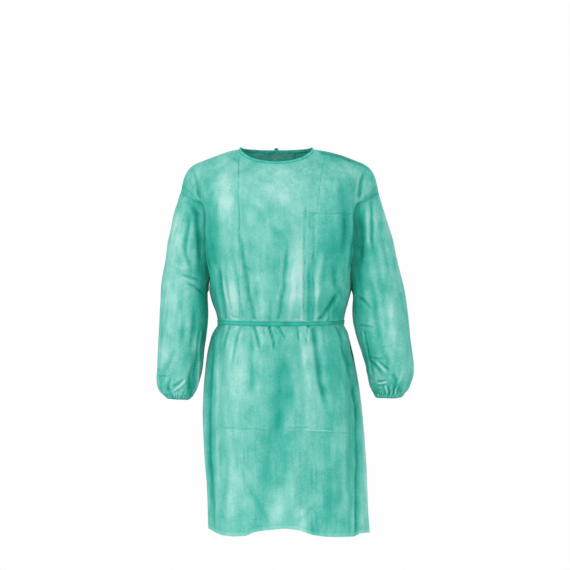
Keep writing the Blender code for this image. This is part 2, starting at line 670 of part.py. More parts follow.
def tie(name, knot_centre, knot_share, side, length, width, spread, material):
    """A free end that hangs down the back from its knot, narrow where the knot pinches it."""
    under_knot = KNOT_HEIGHT / 2.0 * knot_share + SEAM_GAP + TIE_WALL * TIE_UNDER_KNOT
    top = knot_centre[2] - under_knot
    start_down = ORIGIN_DOWN - top / STEP_M
    rows = np.linspace(start_down, start_down + length / STEP_M, TIE_POINTS)
    stations = np.linspace(-BACK_MIDDLE_STATION, BACK_MIDDLE_STATION, TIE_COLUMNS)
    surface, _ = body_grid(stations, rows, True)
    line, half = [], []
    for i in range(TIE_POINTS):
        share = i / (TIE_POINTS - 1.0)
        opened = TIE_PINCH + (1.0 - TIE_PINCH) * smooth(0.0, TIE_PINCH_LENGTH, share)
        half.append(width / 2.0 * opened)
        sway = TIE_SWAY * math.sin(share * TIE_SWAY_TURN) * share
        x = knot_centre[0] + side * (SEAM_GAP + half[-1] + spread * share + sway)
        y = np.interp(x, surface[i, :, 0], surface[i, :, 1]) + LAP_OUT + TIE_CLEAR
        if i == 0:
            lift = knot_centre[1] - y
        y += lift * math.exp(-share * TIE_SETTLE)
        line.append((x, y, np.interp(x, surface[i, :, 0], surface[i, :, 2])))
    line = np.array(line)
    line[:, 2] += top - line[0, 2]
    shift = np.stack([half, np.zeros(TIE_POINTS), np.zeros(TIE_POINTS)], axis=1)
    face = np.cross(np.array([1.0, 0.0, 0.0]), np.gradient(line, axis=0))
    face /= np.linalg.norm(face, axis=1, keepdims=True)
    face *= np.sign(face[:, 1:2])
    grid = np.stack([line - shift, line + shift], axis=1)
    normal = np.stack([face, face], axis=1)
    return cloth_wall(name, grid, normal, TIE_WALL, material)


def belt(material):
    """The belt round the waist, its knot at the centre back and the two free ends."""
    lift = WALL / 2.0 + BELT_WALL / 2.0 + BELT_CLEAR
    line = evened(belt_line(BELT_DOWN, lift), BELT_FINE_POINTS)
    middle_x = (line[0, 0] + line[-1, 0]) / 2.0
    gap = KNOT_WIDTH / 2.0 * KNOT_ROOM + SEAM_GAP
    keep = (line[:, 1] < 0.0) | (np.abs(line[:, 0] - middle_x) > gap)
    line = evened(line[keep], BELT_POINTS)
    out = across_of(line)
    up = np.array([0.0, 0.0, BELT_HEIGHT / 2.0])
    grid = np.array([line - up, line + up])
    cloth_wall("belt", grid, np.array([out, out]), BELT_WALL, material)
    centre = (line[0] + line[-1]) / 2.0
    centre[1] = max(line[0, 1], line[-1, 1]) + KNOT_THICK / 2.0 - BELT_WALL * KNOT_SINK
    knot("belt_knot", centre, 1.0, material)
    tie("belt_tie_right", centre, 1.0, -1.0, BELT_TIE_LENGTH, BELT_HEIGHT, BELT_TIE_SPREAD[0],
        material)
    tie("belt_tie_left", centre, 1.0, 1.0, BELT_TIE_LENGTH * BELT_TIE_SHORTER, BELT_HEIGHT,
        BELT_TIE_SPREAD[1], material)


def binding(material):
    """The strip on the panels' top edges at the neck, its knot and its two free ends."""
    stations = np.linspace(-NECK_STATION, NECK_STATION, BINDING_COLUMNS)
    front = top_row(stations, False)
    back = top_row(stations, True)
    half = len(stations) // 2
    low = np.concatenate([back[:half][::-1], front, back[half + 1:][::-1]])
    under_front = fall_row(stations, False)
    under_back = fall_row(stations, True)
    under = np.concatenate([under_back[:half][::-1], under_front, under_back[half + 1:][::-1]])
    lift = low - under
    lift /= np.linalg.norm(lift, axis=1, keepdims=True)
    lift[:, 2] = np.maximum(lift[:, 2], BINDING_LEAST_RISE)
    for _ in range(BINDING_EVENINGS):
        lift[1:-1] = (lift[:-2] + lift[1:-1] * 2.0 + lift[2:]) / 4.0
    lift /= np.linalg.norm(lift, axis=1, keepdims=True)
    low = low + lift * BINDING_GAP
    gap = KNOT_WIDTH / 2.0 * NECK_KNOT_SHARE * KNOT_ROOM + SEAM_GAP
    middle_x = (low[0, 0] + low[-1, 0]) / 2.0
    keep = (low[:, 1] < 0.0) | (np.abs(low[:, 0] - middle_x) > gap)
    low, lift = low[keep], lift[keep]
    high = evened(low + lift * BINDING_HEIGHT, BINDING_POINTS)
    low = evened(low, BINDING_POINTS)
    along = np.gradient(low, axis=0)
    out = np.cross(along, high - low)
    out /= np.linalg.norm(out, axis=1, keepdims=True)
    centre = low.mean(axis=0)
    flat = (low - centre) * np.array([1.0, 1.0, 0.0])
    if (flat * out).sum() < 0.0:
        out = -out
    grid = np.array([low, high])
    cloth_wall("neck_binding", grid, np.array([out, out]), BINDING_WALL, material)
    centre = (low[0] + low[-1] + high[0] + high[-1]) / 4.0
    centre += np.array([0.0, KNOT_THICK / 2.0 * NECK_KNOT_SHARE + LAP_OUT, NECK_KNOT_LIFT])
    knot("neck_knot", centre, NECK_KNOT_SHARE, material)
    tie("neck_tie_right", centre, NECK_KNOT_SHARE, -1.0, NECK_TIE_LENGTH, NECK_TIE_WIDTH,
        NECK_TIE_SPREAD[0], material)
    tie("neck_tie_left", centre, NECK_KNOT_SHARE, 1.0, NECK_TIE_LENGTH * NECK_TIE_SHORTER,
        NECK_TIE_WIDTH, NECK_TIE_SPREAD[1], material)


def cloth_material(name, colour, roughness):
    material = bpy.data.materials.new(name)
    material.use_nodes = True
    shader = material.node_tree.nodes["Principled BSDF"]
    shader.inputs["Base Color"].default_value = colour
    shader.inputs["Roughness"].default_value = roughness
    shader.inputs["Metallic"].default_value = 0.0
    material.diffuse_color = colour
    return material


def make_gown():
    def nonwoven(part):
        return cloth_material(part + " nonwoven", NONWOVEN_COLOUR, NONWOVEN_ROUGHNESS)

    def trim(part):
        return cloth_material(part + " nonwoven strip", TRIM_COLOUR, TRIM_ROUGHNESS)

    front_panel(nonwoven("front"))
    back_panel("back_panel_right", -1.0, False, nonwoven("back right"))
    back_panel("back_panel_left", 1.0, True, nonwoven("back left"))
    right = sleeve("sleeve_right", -1.0, SLEEVE_RIGHT_ARM, nonwoven("right sleeve"))
    left = sleeve("sleeve_left", 1.0, SLEEVE_LEFT_ARM, nonwoven("left sleeve"))
    cuff("cuff_right", right, -1.0, trim("right cuff"))
    cuff("cuff_left", left, 1.0, trim("left cuff"))
    binding(trim("neck"))
    belt(trim("belt"))


clear_scene()
make_gown()
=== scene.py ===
"""Disposable gown: its cloth, creases, seams, ties and a plain studio round it.

Metres, +Z up, the front faces -Y, and the origin is on the shoulder line. The outline tables are
read in steps of STEP_M, seen from the front by an eye EYE_M away, counted from the left and from
the top. Left and right are the wearer's: the wearer's left is +X.
"""
import math
from collections import namedtuple

import bpy
import numpy as np
from bpy.props import FloatProperty, FloatVectorProperty, IntProperty, PointerProperty
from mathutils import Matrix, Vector


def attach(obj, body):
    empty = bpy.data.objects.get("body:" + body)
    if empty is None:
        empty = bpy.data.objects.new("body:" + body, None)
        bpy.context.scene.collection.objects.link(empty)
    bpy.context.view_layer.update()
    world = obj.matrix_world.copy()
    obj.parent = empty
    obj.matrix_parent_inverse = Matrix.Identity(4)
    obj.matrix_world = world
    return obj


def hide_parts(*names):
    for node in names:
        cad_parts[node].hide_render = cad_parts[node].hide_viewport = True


bl_info = {
    "name": "Disposable gown",
    "version": (1, 0, 0),
    "blender": (4, 5, 0),
    "location": "View3D > Sidebar > Gown",
    "description": "Builds the cloth, creases, seams and ties of a worn nonwoven gown",
    "category": "Add Mesh",
}

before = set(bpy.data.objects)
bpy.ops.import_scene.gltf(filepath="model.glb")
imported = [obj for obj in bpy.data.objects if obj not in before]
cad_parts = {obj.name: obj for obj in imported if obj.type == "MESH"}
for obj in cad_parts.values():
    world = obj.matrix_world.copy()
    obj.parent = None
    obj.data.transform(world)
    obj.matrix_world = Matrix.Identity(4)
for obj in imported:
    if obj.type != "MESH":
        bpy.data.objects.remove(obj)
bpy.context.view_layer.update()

MM = 0.001
STEP_M = 1.0 / 375.0
EYE_M = 4.0
EYE_DOWN = 285.0
ORIGIN_ACROSS = 280.0
ORIGIN_DOWN = 149.0
EYE_Z = (ORIGIN_DOWN - EYE_DOWN) * STEP_M
VIEW_M = 1.52
FLOOR_DOWN_M = 1.46
FLOOR_RADIUS_M = 1.65
FLOOR_SIDES = 96
TURN = 2.0 * math.pi
LEVEL = np.array([1.0, 1.0, 0.0])
UP = np.array([0.0, 0.0, 1.0])

# Stations run round the body: 0 at the centre, 2 at the neck's edge, 7 at the side seam and the
# armhole; below 0 they lie on the wearer's right.
NECK = 2.0
SEAM = 7.0
LAP_STATION = 1.7
LAP_OUT = 4.0 * MM
LAP_WIDTH = (48.0 * MM, 92.0 * MM)
LAP_EASE = 1.3
BACK_SHARE = 0.92
STATION_ANGLE = (90.0, 72.0, 54.0, 37.0, 24.0, 15.0, 7.0, 0.0)
FULLNESS = 0.10

# Level sections: down, left edge, right edge, depth in front, depth behind.
RINGS = (
    (533, 208.5, 369.3, 150, 150),
    (500, 207.9, 366.5, 150, 150),
    (460, 205.1, 365, 149, 150),
    (430, 203.9, 363.6, 148, 149),
    (400, 204, 360.7, 145, 146),
    (372, 206, 356.6, 137, 137),
    (347, 209.3, 351.3, 126, 118),
    (332, 213.4, 347.2, 117, 102),
    (325.5, 217.2, 344.4, 112, 94),
    (318.5, 217.2, 344.4, 112, 94),
    (312, 216.2, 345, 118, 101),
    (303, 213, 347.5, 123, 108),
    (290, 209.7, 350.4, 127, 114),
)

# Sections over the armhole: down at the row, then across, down and depth of the eight stations.
UPPER = (
    (268, ((280, 268, 131), (256.5, 268, 127), (234.5, 268, 114), (216.5, 268, 90),
           (207.8, 268, 62), (208, 268, 48), (209.8, 268, 35), (212, 268, 24))),
    (243, ((280, 243, 135), (255.5, 243, 131), (232.5, 243, 121), (214, 243, 99),
           (205.2, 243, 76), (205.6, 243, 62), (208, 243, 51), (211, 243, 42))),
    (203, ((279.5, 203, 130), (254, 203, 126), (234.5, 203, 119), (218, 203, 105),
           (209.5, 203, 88), (205.5, 203, 72), (203.3, 203.3, 65), (202, 203.6, 60))),
    (188, ((277, 187, 116), (252, 186, 112), (234, 183, 104), (217, 184, 92),
           (207, 187.5, 80), (200.3, 191.5, 56), (197, 196, 58), (194.5, 199.8, 52))),
    (172, ((276.5, 173, 92), (251, 171.5, 84), (236, 166, 64), (218, 167, 62),
           (203.5, 172.5, 56), (195.8, 178, 38), (188.5, 184.5, 40), (187.5, 195.7, 33))),
)
# The centre of the back, station 0 to 2, where it differs: down and depth by row.
UPPER_BACK = {
    268: ((268, 118), (268, 115), (268, 105)),
    243: ((243, 120), (243, 117), (243, 108)),
    203: ((203, 114), (203, 111), (203, 106)),
    188: ((184, 104), (184, 100), (183, 94)),
    172: ((166, 84), (165.5, 78), (164, 62)),
}
# Shoulder line from the neck (station 2) over the shoulder's tip (5) to the sleeve seam (7).
RIDGE = (
    (2, 239.3, 149.4), (2.5, 229.5, 151.4), (3, 219.5, 154.8), (3.5, 211, 158), (4, 202.5, 161.3),
    (4.5, 196, 164), (5, 190.3, 167.9), (5.5, 186.5, 173), (6, 184, 178.5), (6.5, 182.4, 185),
    (7, 181.2, 191.8),
)
# How the cloth leaves that line: station, outward, depth and down in millimetres.
RIDGE_FALL = (
    (0, 0, 9, 9), (1, 6.5, 6.5, 9), (1.5, 9, 5, 8.5), (2, 9, 15, 7), (2.5, 3, 19, 5.5),
    (3, 0, 20, 5), (4, 0, 20, 5), (5, -2, 19, 4.5), (6, -3, 18, 1.5), (7, -6, 15, 4),
)
NAPE_FALL_SHARE = 0.6
RIDGE_ROW = 154.0
FALL_ROW = 160.0
UNDERARM_ROW = 290.0
HEM_ROW = 533.0
NECK_ACROSS = 276.3
NECK_HALF = 37.0
NECK_DROP_FRONT = 14.2
NECK_DROP_BACK = 1.5
NECK_DEPTH_FRONT = 70.0
NECK_DEPTH_BACK = 64.0
NECK_MIDDLE_BLEND = (1.8, 3.2)
BODY_ACROSS = 279.7
HEM_LIFT_FRONT = 30.0
HEM_LIFT_BACK = 12.0
HEM_LIFT_FADE = 330.0
HEM_LEAN = 10.0
HEM_FADE_ROW = 440.0

# Sleeve sections: blend from the armhole, outer edge, inner edge, half depth, middle's depth.
SLEEVE_RIGHT_ARM = (
    (0.60, 175.8, 206, 205.4, 297, 62, 0),
    (0.80, 170.3, 227, 206.6, 303, 63, 0),
    (0.92, 165.3, 252, 207.8, 309, 63, -2),
    (1.00, 161.9, 280, 208.3, 316, 62, -4),
    (1.00, 160.7, 308, 207.7, 328, 60, -8),
    (1.00, 159.2, 334, 205.5, 343, 58, -12),
    (1.00, 158, 356, 203.2, 359, 56, -16),
    (1.00, 157.2, 374, 200.8, 375, 54, -20),
    (1.00, 158.4, 384.6, 198, 385.5, 50, -22),
    (1.00, 161.2, 390.5, 195.3, 392, 42, -24),
    (1.00, 163.8, 393.8, 193.6, 395.3, 34.5, -25),
)
SLEEVE_LEFT_ARM = (
    (0.60, 383.6, 206, 354.6, 297, 62, 0),
    (0.80, 389.2, 227, 353.4, 303, 63, 0),
    (0.92, 395.8, 252, 352, 309, 64, -2),
    (1.00, 401.3, 280, 351.6, 315, 64, -4),
    (1.00, 406.2, 308, 352.6, 325, 62, -8),
    (1.00, 410, 334, 356.8, 340, 61, -12),
    (1.00, 412.6, 356, 362.6, 357, 59, -16),
    (1.00, 412.3, 373, 366.6, 373, 57, -20),
    (1.00, 409.3, 383, 368.8, 383.5, 52, -22),
    (1.00, 406.6, 389.5, 371.8, 390, 44, -24),
    (1.00, 403.6, 392.8, 373.2, 393.4, 36, -25),
)
SEAM_TURN = (15.0, 45.0)
SEAM_LOW = (105.0, 135.0)
SEAM_EASE = 1.2 * MM
SEAM_GAP = 0.1 * MM
CUFF_DROP = 9.0 * MM
CUFF_WALL = 1.1 * MM
# The sleeve's seam allowance: how far each of its edges lies inside and behind the seam.
ALLOWANCE_TURN = ((2.6 * MM, 2.2 * MM), (0.7 * MM, 0.1 * MM))

# Main folds: from (across, down), to (across, down), half width in steps, depth in millimetres.
FOLDS_FRONT = (
    (308.8, 316, 308.5, 236, 8, 7),
    (253.5, 316, 240, 234, 8, 5),
    (226, 316, 219, 262, 7, 5),
    (281, 316, 289, 246, 8, 4),
    (322, 316, 340, 290, 7, 4),
    (314, 330, 328, 412, 9, 7),
    (256, 330, 252, 398, 9, 5),
    (350, 336, 357.4, 524, 7, 7),
    (221, 336, 213, 524, 7, 6),
    (284, 330, 290, 372, 8, 3.5),
)
FOLDS_BACK = (
    (246, 316, 234, 236, 9, 6),
    (316, 316, 328, 240, 9, 6),
    (232, 332, 222, 520, 9, 8),
    (330, 332, 342, 520, 9, 8),
    (258, 330, 250, 440, 9, 6),
    (306, 330, 316, 430, 9, 6),
)

BELT_HEIGHT = 12.5 * MM
BELT_WALL = 1.8 * MM
BELT_DOWN = 322.0
BELT_LIFT = 1.5 * MM
BELT_PINCH = 1.6 * MM
BELT_PINCH_REACH = 4.5
BELT_POINTS = 620
TACK_ACROSS = 308.2
# The tack's stitches run from point to point: to the side and up, in millimetres.
TACK_TURNS = ((-3.0, 0.6), (3.0, -0.4), (-2.6, -1.2), (2.4, 1.4), (0.0, 2.6), (0.2, -2.4))
BELT_RISE_RIGHT = (-2.6, -1.6)
BELT_RISE_LEFT = (2.6, 3.6)
BINDING_HEIGHT = 6.5 * MM
BINDING_WALL = 2.2 * MM
BINDING_GAP = 1.5 * MM
BINDING_POINTS = 420
BINDING_LEAST_RISE = 0.75
BINDING_EVENINGS = 60
KNOT_WIDTH = 17.0 * MM
KNOT_HEIGHT = 18.0 * MM
KNOT_THICK = 11.0 * MM
NECK_KNOT_SHARE = 0.72
NECK_KNOT_LIFT = 4.5 * MM
BELT_TIE_LENGTH = 0.34
NECK_TIE_LENGTH = 0.19
NECK_TIE_WIDTH = 8.5 * MM
TIE_WALL = 1.5 * MM
TIE_POINTS = 130
TIE_CLEAR = 3.4 * MM
TIE_SWAY = 4.0 * MM

SWELL_WAVES = 22
# How much deeper than placed a crease is drawn and how much more painted shade it gets, how much
# of it stays at its ends, and the raised rims beside it with their painted highlight, in half
# widths from its middle.
CREASE_DEPTH_GAIN = 1.3
CREASE_SHADE_GAIN = 1.6
CREASE_LEAST = 0.15
RIM_AWAY = 1.5
RIM_WIDTH = 0.55
RIM_HEIGHT = 0.15
RIM_HIGHLIGHT = 0.30
# A stitch: how far along it and how fat each of its rings is.
STITCH_LEVELS = ((0.0, 0.25), (0.18, 0.9), (0.5, 1.0), (0.82, 0.9), (1.0, 0.25))
STITCH_SIDES = 6
# How much deeper the green of the cloth's inner face is: painted shade inside the hollow gown.
INSIDE_SHADE = 0.04
# Puckers at a sewn edge: from one to the next and how far they reach, in steps.
TICK_PITCH = 2.1
TICK_REACH = 2.7

# Small creases: points along the crease (across, down), half width in steps, depth in millimetres
# (out is negative), how much painted shade it gets (below 0: a painted highlight on a ridge), and
# 1 where it is pressed sharp.
CREASES_FRONT = (
    ((218, 262, 221, 292, 226, 320), 2.6, 2.6, 0.16, 0),
    ((222.5, 270, 226, 296, 231, 319), 2, -1.6, -0.10, 0),
    ((239, 228, 245, 270, 249.5, 296, 254.5, 320), 3, 3, 0.17, 0),
    ((233, 250, 238, 286, 243, 318), 2.6, 1.6, 0.10, 0),
    ((262, 280, 262.5, 300, 264, 320), 3, -1.8, -0.09, 0),
    ((288.5, 240, 284, 285, 278.5, 320), 2.6, 2.6, 0.17, 0),
    ((294, 262, 292, 300, 290, 320), 4.2, -2.2, -0.12, 0),
    ((305, 206, 304.4, 260, 304.2, 321), 1.8, 2, 0.17, 1),
    ((313.2, 224, 313.8, 270, 313.5, 321), 1.8, 2.2, 0.19, 1),
    ((309, 232, 309, 280, 308.8, 320), 3, -1.4, 0.06, 0),
    ((338, 292, 330, 306, 320, 320), 2.8, 3.2, 0.20, 0),
    ((333, 262, 336, 284, 344, 300), 4, 2.4, 0.12, 0),
    ((230.5, 315, 234.5, 316.6, 238.5, 317.6), 1.4, 1.6, 0.12, 0),
    ((240, 262, 246, 268, 252, 270), 2.2, 1, 0.07, 0),
    ((268, 222, 276, 232, 286, 236), 5, 1.6, 0.07, 0),
    ((250, 196, 262, 206, 272, 222), 5, -1.8, -0.06, 0),
    ((323, 246, 318, 276, 317, 306), 4, -2.2, -0.10, 0),
    ((254, 326, 256, 333, 259.6, 352), 1.9, 2.4, 0.30, 0),
    ((269, 326, 271.5, 334, 276, 352), 1.9, 2.4, 0.28, 0),
    ((278.6, 326, 281.6, 332, 286, 339), 1.8, 2, 0.24, 0),
    ((240, 326, 237, 338, 231, 366), 2.2, 2.2, 0.16, 0),
    ((262, 326, 263.4, 331, 266, 338), 1.4, 1.6, 0.12, 0),
    ((296.6, 326, 297.4, 332, 299.4, 342), 1.6, 1.8, 0.14, 0),
    ((307.6, 326, 307.4, 334, 306.6, 344), 1.2, 1.6, 0.22, 0),
    ((336, 325, 339, 331, 343, 342), 1.8, 2, 0.16, 0),
    ((229.6, 326, 227.4, 334, 223, 350), 1.8, 1.8, 0.12, 0),
    ((309, 262, 309.2, 296, 309.4, 321), 4.6, 1, 0.17, 0),
    ((300, 296, 299.4, 310, 299, 321), 1.4, 1.4, 0.10, 0),
    ((270.6, 300, 270, 312, 270, 321), 1.6, 1.4, 0.10, 0),
    ((331, 304, 329, 313, 328, 321), 1.6, 1.6, 0.12, 0),
    ((300, 328, 302, 346, 306, 372), 3, -2, -0.10, 0),
    ((313, 327, 316.5, 350, 320, 378, 327, 414), 3.6, 3.4, 0.22, 0),
    ((254, 332, 251, 360, 252, 398), 4.2, 2.2, 0.10, 0),
    ((275, 340, 279, 372, 278, 410, 280, 452), 7, 2, 0.06, 0),
    ((292, 352, 297, 386, 298, 418), 6, -2.2, -0.09, 0),
    ((340, 330, 344, 350, 352, 384), 2.6, 2.2, 0.16, 0),
    ((352, 384, 356.4, 404, 357.4, 460, 356.6, 536), 3, 3.4, 0.24, 1),
    ((365, 396, 365.5, 450, 366.5, 522), 3.4, -1.6, -0.14, 0),
    ((213, 338, 209.5, 392, 210, 452, 214, 533), 3, 3, 0.20, 1),
    ((219, 330, 217.5, 386, 218, 444, 220, 520), 2.4, -1.4, -0.10, 0),
    ((244, 436, 243.4, 480, 244.4, 531), 1.3, 0.9, 0.08, 1),
    ((286, 398, 270, 440, 262, 500), 7, 2.4, 0.08, 0),
    ((300, 446, 290, 486, 297, 524), 7, -2.4, -0.07, 0),
    ((327, 432, 330, 470, 326, 520), 6, 1.8, 0.06, 0),
    ((345, 420, 343, 462, 347, 520), 3.6, -1.6, -0.08, 0),
    ((229, 420, 233, 462, 230, 520), 5, -1.8, -0.07, 0),
    ((240, 470, 256, 500, 270, 528), 4, 1.6, 0.06, 0),
    ((318, 498, 304, 516, 292, 528), 3.4, 1.4, 0.06, 0),
    # pressed in while the gown lay folded in its bag
    ((238.6, 155, 238.4, 190, 239, 232), 1.1, 0.9, 0.17, 1),
    ((239, 232, 239.2, 262, 239.6, 319), 1, 0.6, 0.11, 1),
    ((323.5, 161, 320, 186, 316.4, 213), 1.3, 0.9, 0.10, 1),
    ((316, 213, 311, 217, 308.6, 240), 1.3, 1, 0.10, 1),
    ((309, 213.2, 326, 213.2, 354, 214.2), 1.1, 0.8, 0.12, 1),
    ((222, 427.2, 244, 428.6, 266, 429.6), 1.2, 0.8, 0.12, 1),
    ((288, 427.4, 298, 427.8, 308, 427.4), 1.2, 1.2, 0.22, 1),
    ((304, 429.4, 318, 430.6, 332, 431.4), 1.2, -0.6, -0.10, 1),
    ((306, 431.4, 328, 432.8, 350, 433.4), 1.1, 0.5, 0.07, 1),
    ((311.8, 432, 311.8, 480, 313, 532), 1, 0.8, 0.13, 1),
    ((316, 440, 316.2, 486, 317.2, 533), 1, 0.7, 0.09, 1),
    ((237, 334, 238.6, 380, 240, 428), 1.1, 0.5, 0.06, 1),
)
# The chest's folds beside the arms: long hollows where the cloth turns to the sleeve, with painted
# shade in them.
CREASES_ARMPIT = (
    ((193, 168, 194.8, 178, 198.8, 192, 202, 203), 2, 1.6, 0.10, 0),
    ((202, 203, 204, 230, 207, 262, 210.5, 286), 3.6, 3, 0.18, 0),
    ((212, 196, 214, 224, 215, 262), 3.8, -2, -0.06, 0),
    ((196, 170, 203, 186, 209, 204), 3, -1.6, -0.06, 0),
    ((364, 171, 361, 184, 358.6, 202), 2.2, 2.4, 0.22, 0),
    ((358.6, 202, 355.4, 230, 352.5, 256, 350, 280), 3.6, 3, 0.18, 0),
    ((346, 196, 345, 224, 343, 262), 4.2, 2.4, 0.10, 0),
    ((337, 176, 335, 200, 336, 232), 4.6, -2, -0.06, 0),
)
CREASES_BACK = (
    ((246, 320, 241, 286, 233, 240), 3, 3, 0.16, 0),
    ((232, 320, 229, 300, 222, 268), 2.4, 2.4, 0.14, 0),
    ((262, 320, 263, 290, 257, 250), 3.4, -2.2, -0.10, 0),
    ((316, 320, 320, 286, 329, 242), 3, 3, 0.16, 0),
    ((331, 320, 335, 298, 342, 270), 2.4, 2.4, 0.14, 0),
    ((300, 320, 302, 292, 308, 258), 3.2, -2.2, -0.10, 0),
    ((290, 318, 291, 300, 287, 276), 2.6, 2, 0.12, 0),
    ((236, 327, 232, 352, 224, 402), 3, 3, 0.15, 0),
    ((250, 327, 252, 350, 247, 420), 3.4, 2.6, 0.13, 0),
    ((266, 327, 268, 345, 265, 372), 2.6, 2.2, 0.12, 0),
    ((296, 327, 299, 348, 304, 396), 3.2, 2.6, 0.13, 0),
    ((318, 327, 322, 352, 332, 424), 3.2, 3, 0.15, 0),
    ((332, 327, 337, 346, 341, 380), 2.4, 2.2, 0.13, 0),
    ((224, 402, 220, 460, 222, 526), 3.6, 3.2, 0.16, 0),
    ((344, 400, 347, 460, 344, 524), 3.6, 3.2, 0.16, 0),
    ((262, 420, 256, 470, 262, 524), 6, -2.4, -0.07, 0),
    ((310, 440, 316, 480, 311, 526), 6, 2.4, 0.08, 0),
    ((228, 190, 240, 206, 246, 228), 5, 2, 0.08, 0),
    ((334, 192, 322, 208, 316, 232), 5, 2, 0.08, 0),
    ((240, 168, 250, 176, 260, 190), 3.6, -1.6, -0.05, 0),
    ((239, 158, 238.6, 230, 239.6, 318), 1.1, 0.8, 0.12, 1),
    ((320.5, 160, 321, 232, 320, 318), 1.1, 0.8, 0.12, 1),
    ((206, 213.4, 280, 213, 354, 213.8), 1.1, 0.8, 0.11, 1),
    ((206, 429, 284, 428.4, 362, 430.4), 1.1, 0.8, 0.11, 1),
    ((239, 330, 239.6, 430, 241, 532), 1.1, 0.8, 0.11, 1),
    ((321, 330, 321.6, 430, 323, 532), 1.1, 0.8, 0.11, 1),
)
# Sleeves, the side that faces forward, then the side that faces back.
CREASES_RIGHT_ARM = (
    ((181, 274, 190, 277, 202, 281), 2, 2.2, 0.16, 0),
    ((184, 282, 194, 286, 204, 294), 2.2, 1.8, 0.14, 0),
    ((172, 262, 182, 268, 196, 268), 3.4, -1.8, -0.06, 0),
    ((188, 200, 197, 214, 199, 240, 200, 268), 3.4, 2.6, 0.18, 0),
    ((190, 214, 184, 246, 192, 274), 3, 1.8, 0.14, 0),
    ((196, 300, 194, 330, 190, 356), 3.6, 2.4, 0.14, 0),
    ((196, 358, 192.6, 372, 189, 396), 4, 2.8, 0.20, 0),
    ((177, 346, 171, 358, 164, 372), 3.2, 2.2, 0.10, 0),
    ((158, 376, 164, 376.2, 170, 376), 1.2, 1, 0.14, 1),
    ((187, 379, 180, 386, 172, 392), 1.5, -2.2, -0.26, 0),
    ((184, 379, 177, 384, 171, 387), 1.6, 2.2, 0.16, 0),
    ((171, 376, 167, 384, 168.5, 392), 2.2, 2.2, 0.14, 0),
    ((180, 208, 176, 232, 172, 262), 4.6, -2, -0.06, 0),
    ((187, 206, 188, 230, 184, 256), 3.4, 1.8, 0.08, 0),
    ((170, 286, 173, 312, 170, 344), 5, -1.8, -0.05, 0),
    ((180, 296, 184, 322, 181, 346), 3.6, 1.6, 0.07, 0),
    ((201.4, 330, 199.6, 352, 198, 372, 195.6, 390), 1.5, -1, -0.26, 1),
    ((198.6, 330, 196.8, 352, 193.6, 380), 1.2, 1, 0.14, 1),
    ((163, 300, 162, 330, 160.6, 360), 1.1, 0.6, 0.05, 1),
)
CREASES_LEFT_ARM = (
    ((360, 325, 366, 325.6, 373, 327), 1.8, 2, 0.14, 0),
    ((356, 296, 364, 300, 372, 310), 2.4, 2, 0.14, 0),
    ((377, 350, 386, 346.4, 397, 344.6, 409, 347), 1.3, 1, 0.06, 0),
    ((367, 357, 374, 364.6, 383.6, 376), 1.9, 2.4, 0.20, 0),
    ((376, 380.8, 381, 381.2, 387, 379.8), 1.2, 1.5, 0.18, 0),
    ((377, 383.2, 382, 383, 387.6, 381.6), 1.3, -1.6, -0.22, 0),
    ((376, 385.6, 381, 385.6, 387, 384.4), 1.1, 1.2, 0.12, 0),
    ((375, 360.6, 380.6, 366.4, 388, 373.6), 1.6, -2, -0.24, 0),
    ((378, 360, 384, 365.6, 391, 371), 1.4, 1.6, 0.16, 0),
    ((368, 356.6, 376, 358.4, 385, 358.6), 1.5, 1.4, 0.14, 0),
    ((384.8, 397, 384.4, 392, 383, 386), 1.1, 1.6, 0.26, 1),
    ((389.4, 397, 389, 391, 387.6, 385), 1.1, 1.6, 0.28, 1),
    ((393.4, 397, 393.4, 391, 394.8, 385), 1.1, 1.6, 0.28, 1),
    ((397.2, 397, 397.6, 391, 400.4, 386), 1.2, 1.6, 0.28, 1),
    ((387, 396, 386.6, 391, 385.4, 384.4), 1, -1.4, -0.22, 1),
    ((391.4, 396, 391.2, 390, 391.4, 383.6), 1, -1.4, -0.22, 1),
    ((395.4, 396, 395.6, 391, 397.8, 385.4), 1, -1.4, -0.22, 1),
    ((392, 372, 396, 380, 396, 390), 2.4, 2.2, 0.14, 0),
    ((404, 368, 400, 380, 393, 388), 2.2, -1.8, -0.09, 0),
    ((360, 212, 362, 240, 361, 268), 3.2, 2.6, 0.18, 0),
    ((371.6, 197, 372.6, 224, 373, 252), 2.2, 2, 0.20, 0),
    ((366.6, 208, 367.6, 226, 369, 250), 2.6, -1.6, -0.18, 0),
    ((378, 212, 384, 244, 392, 280), 3.6, 1.8, 0.08, 0),
    ((370, 280, 376, 306, 378, 336), 4.4, 2.2, 0.10, 0),
    ((388, 296, 394, 322, 394, 344), 4.2, -1.8, -0.06, 0),
    ((384, 350, 388, 360, 386, 372), 3.4, 2, 0.10, 0),
    ((362, 330, 366, 350, 371, 376), 1.4, -1, -0.20, 1),
    ((364.6, 330, 368.8, 350, 374, 378), 1.2, 1, 0.14, 1),
    ((402, 300, 406, 326, 408.6, 350), 1.1, 0.6, 0.05, 1),
)
# Puckered stretches of the sleeve seams: points along them (across, down).
TICKS_RIGHT_ARM = (
    (201.6, 318, 200.2, 344, 197.6, 368, 195, 384, 190.6, 394),
    (168, 392, 163, 386),
)
TICKS_LEFT_ARM = (
    (359, 322, 364, 346, 369.4, 370, 373, 388),
    (408, 380, 404, 388, 399, 394),
)
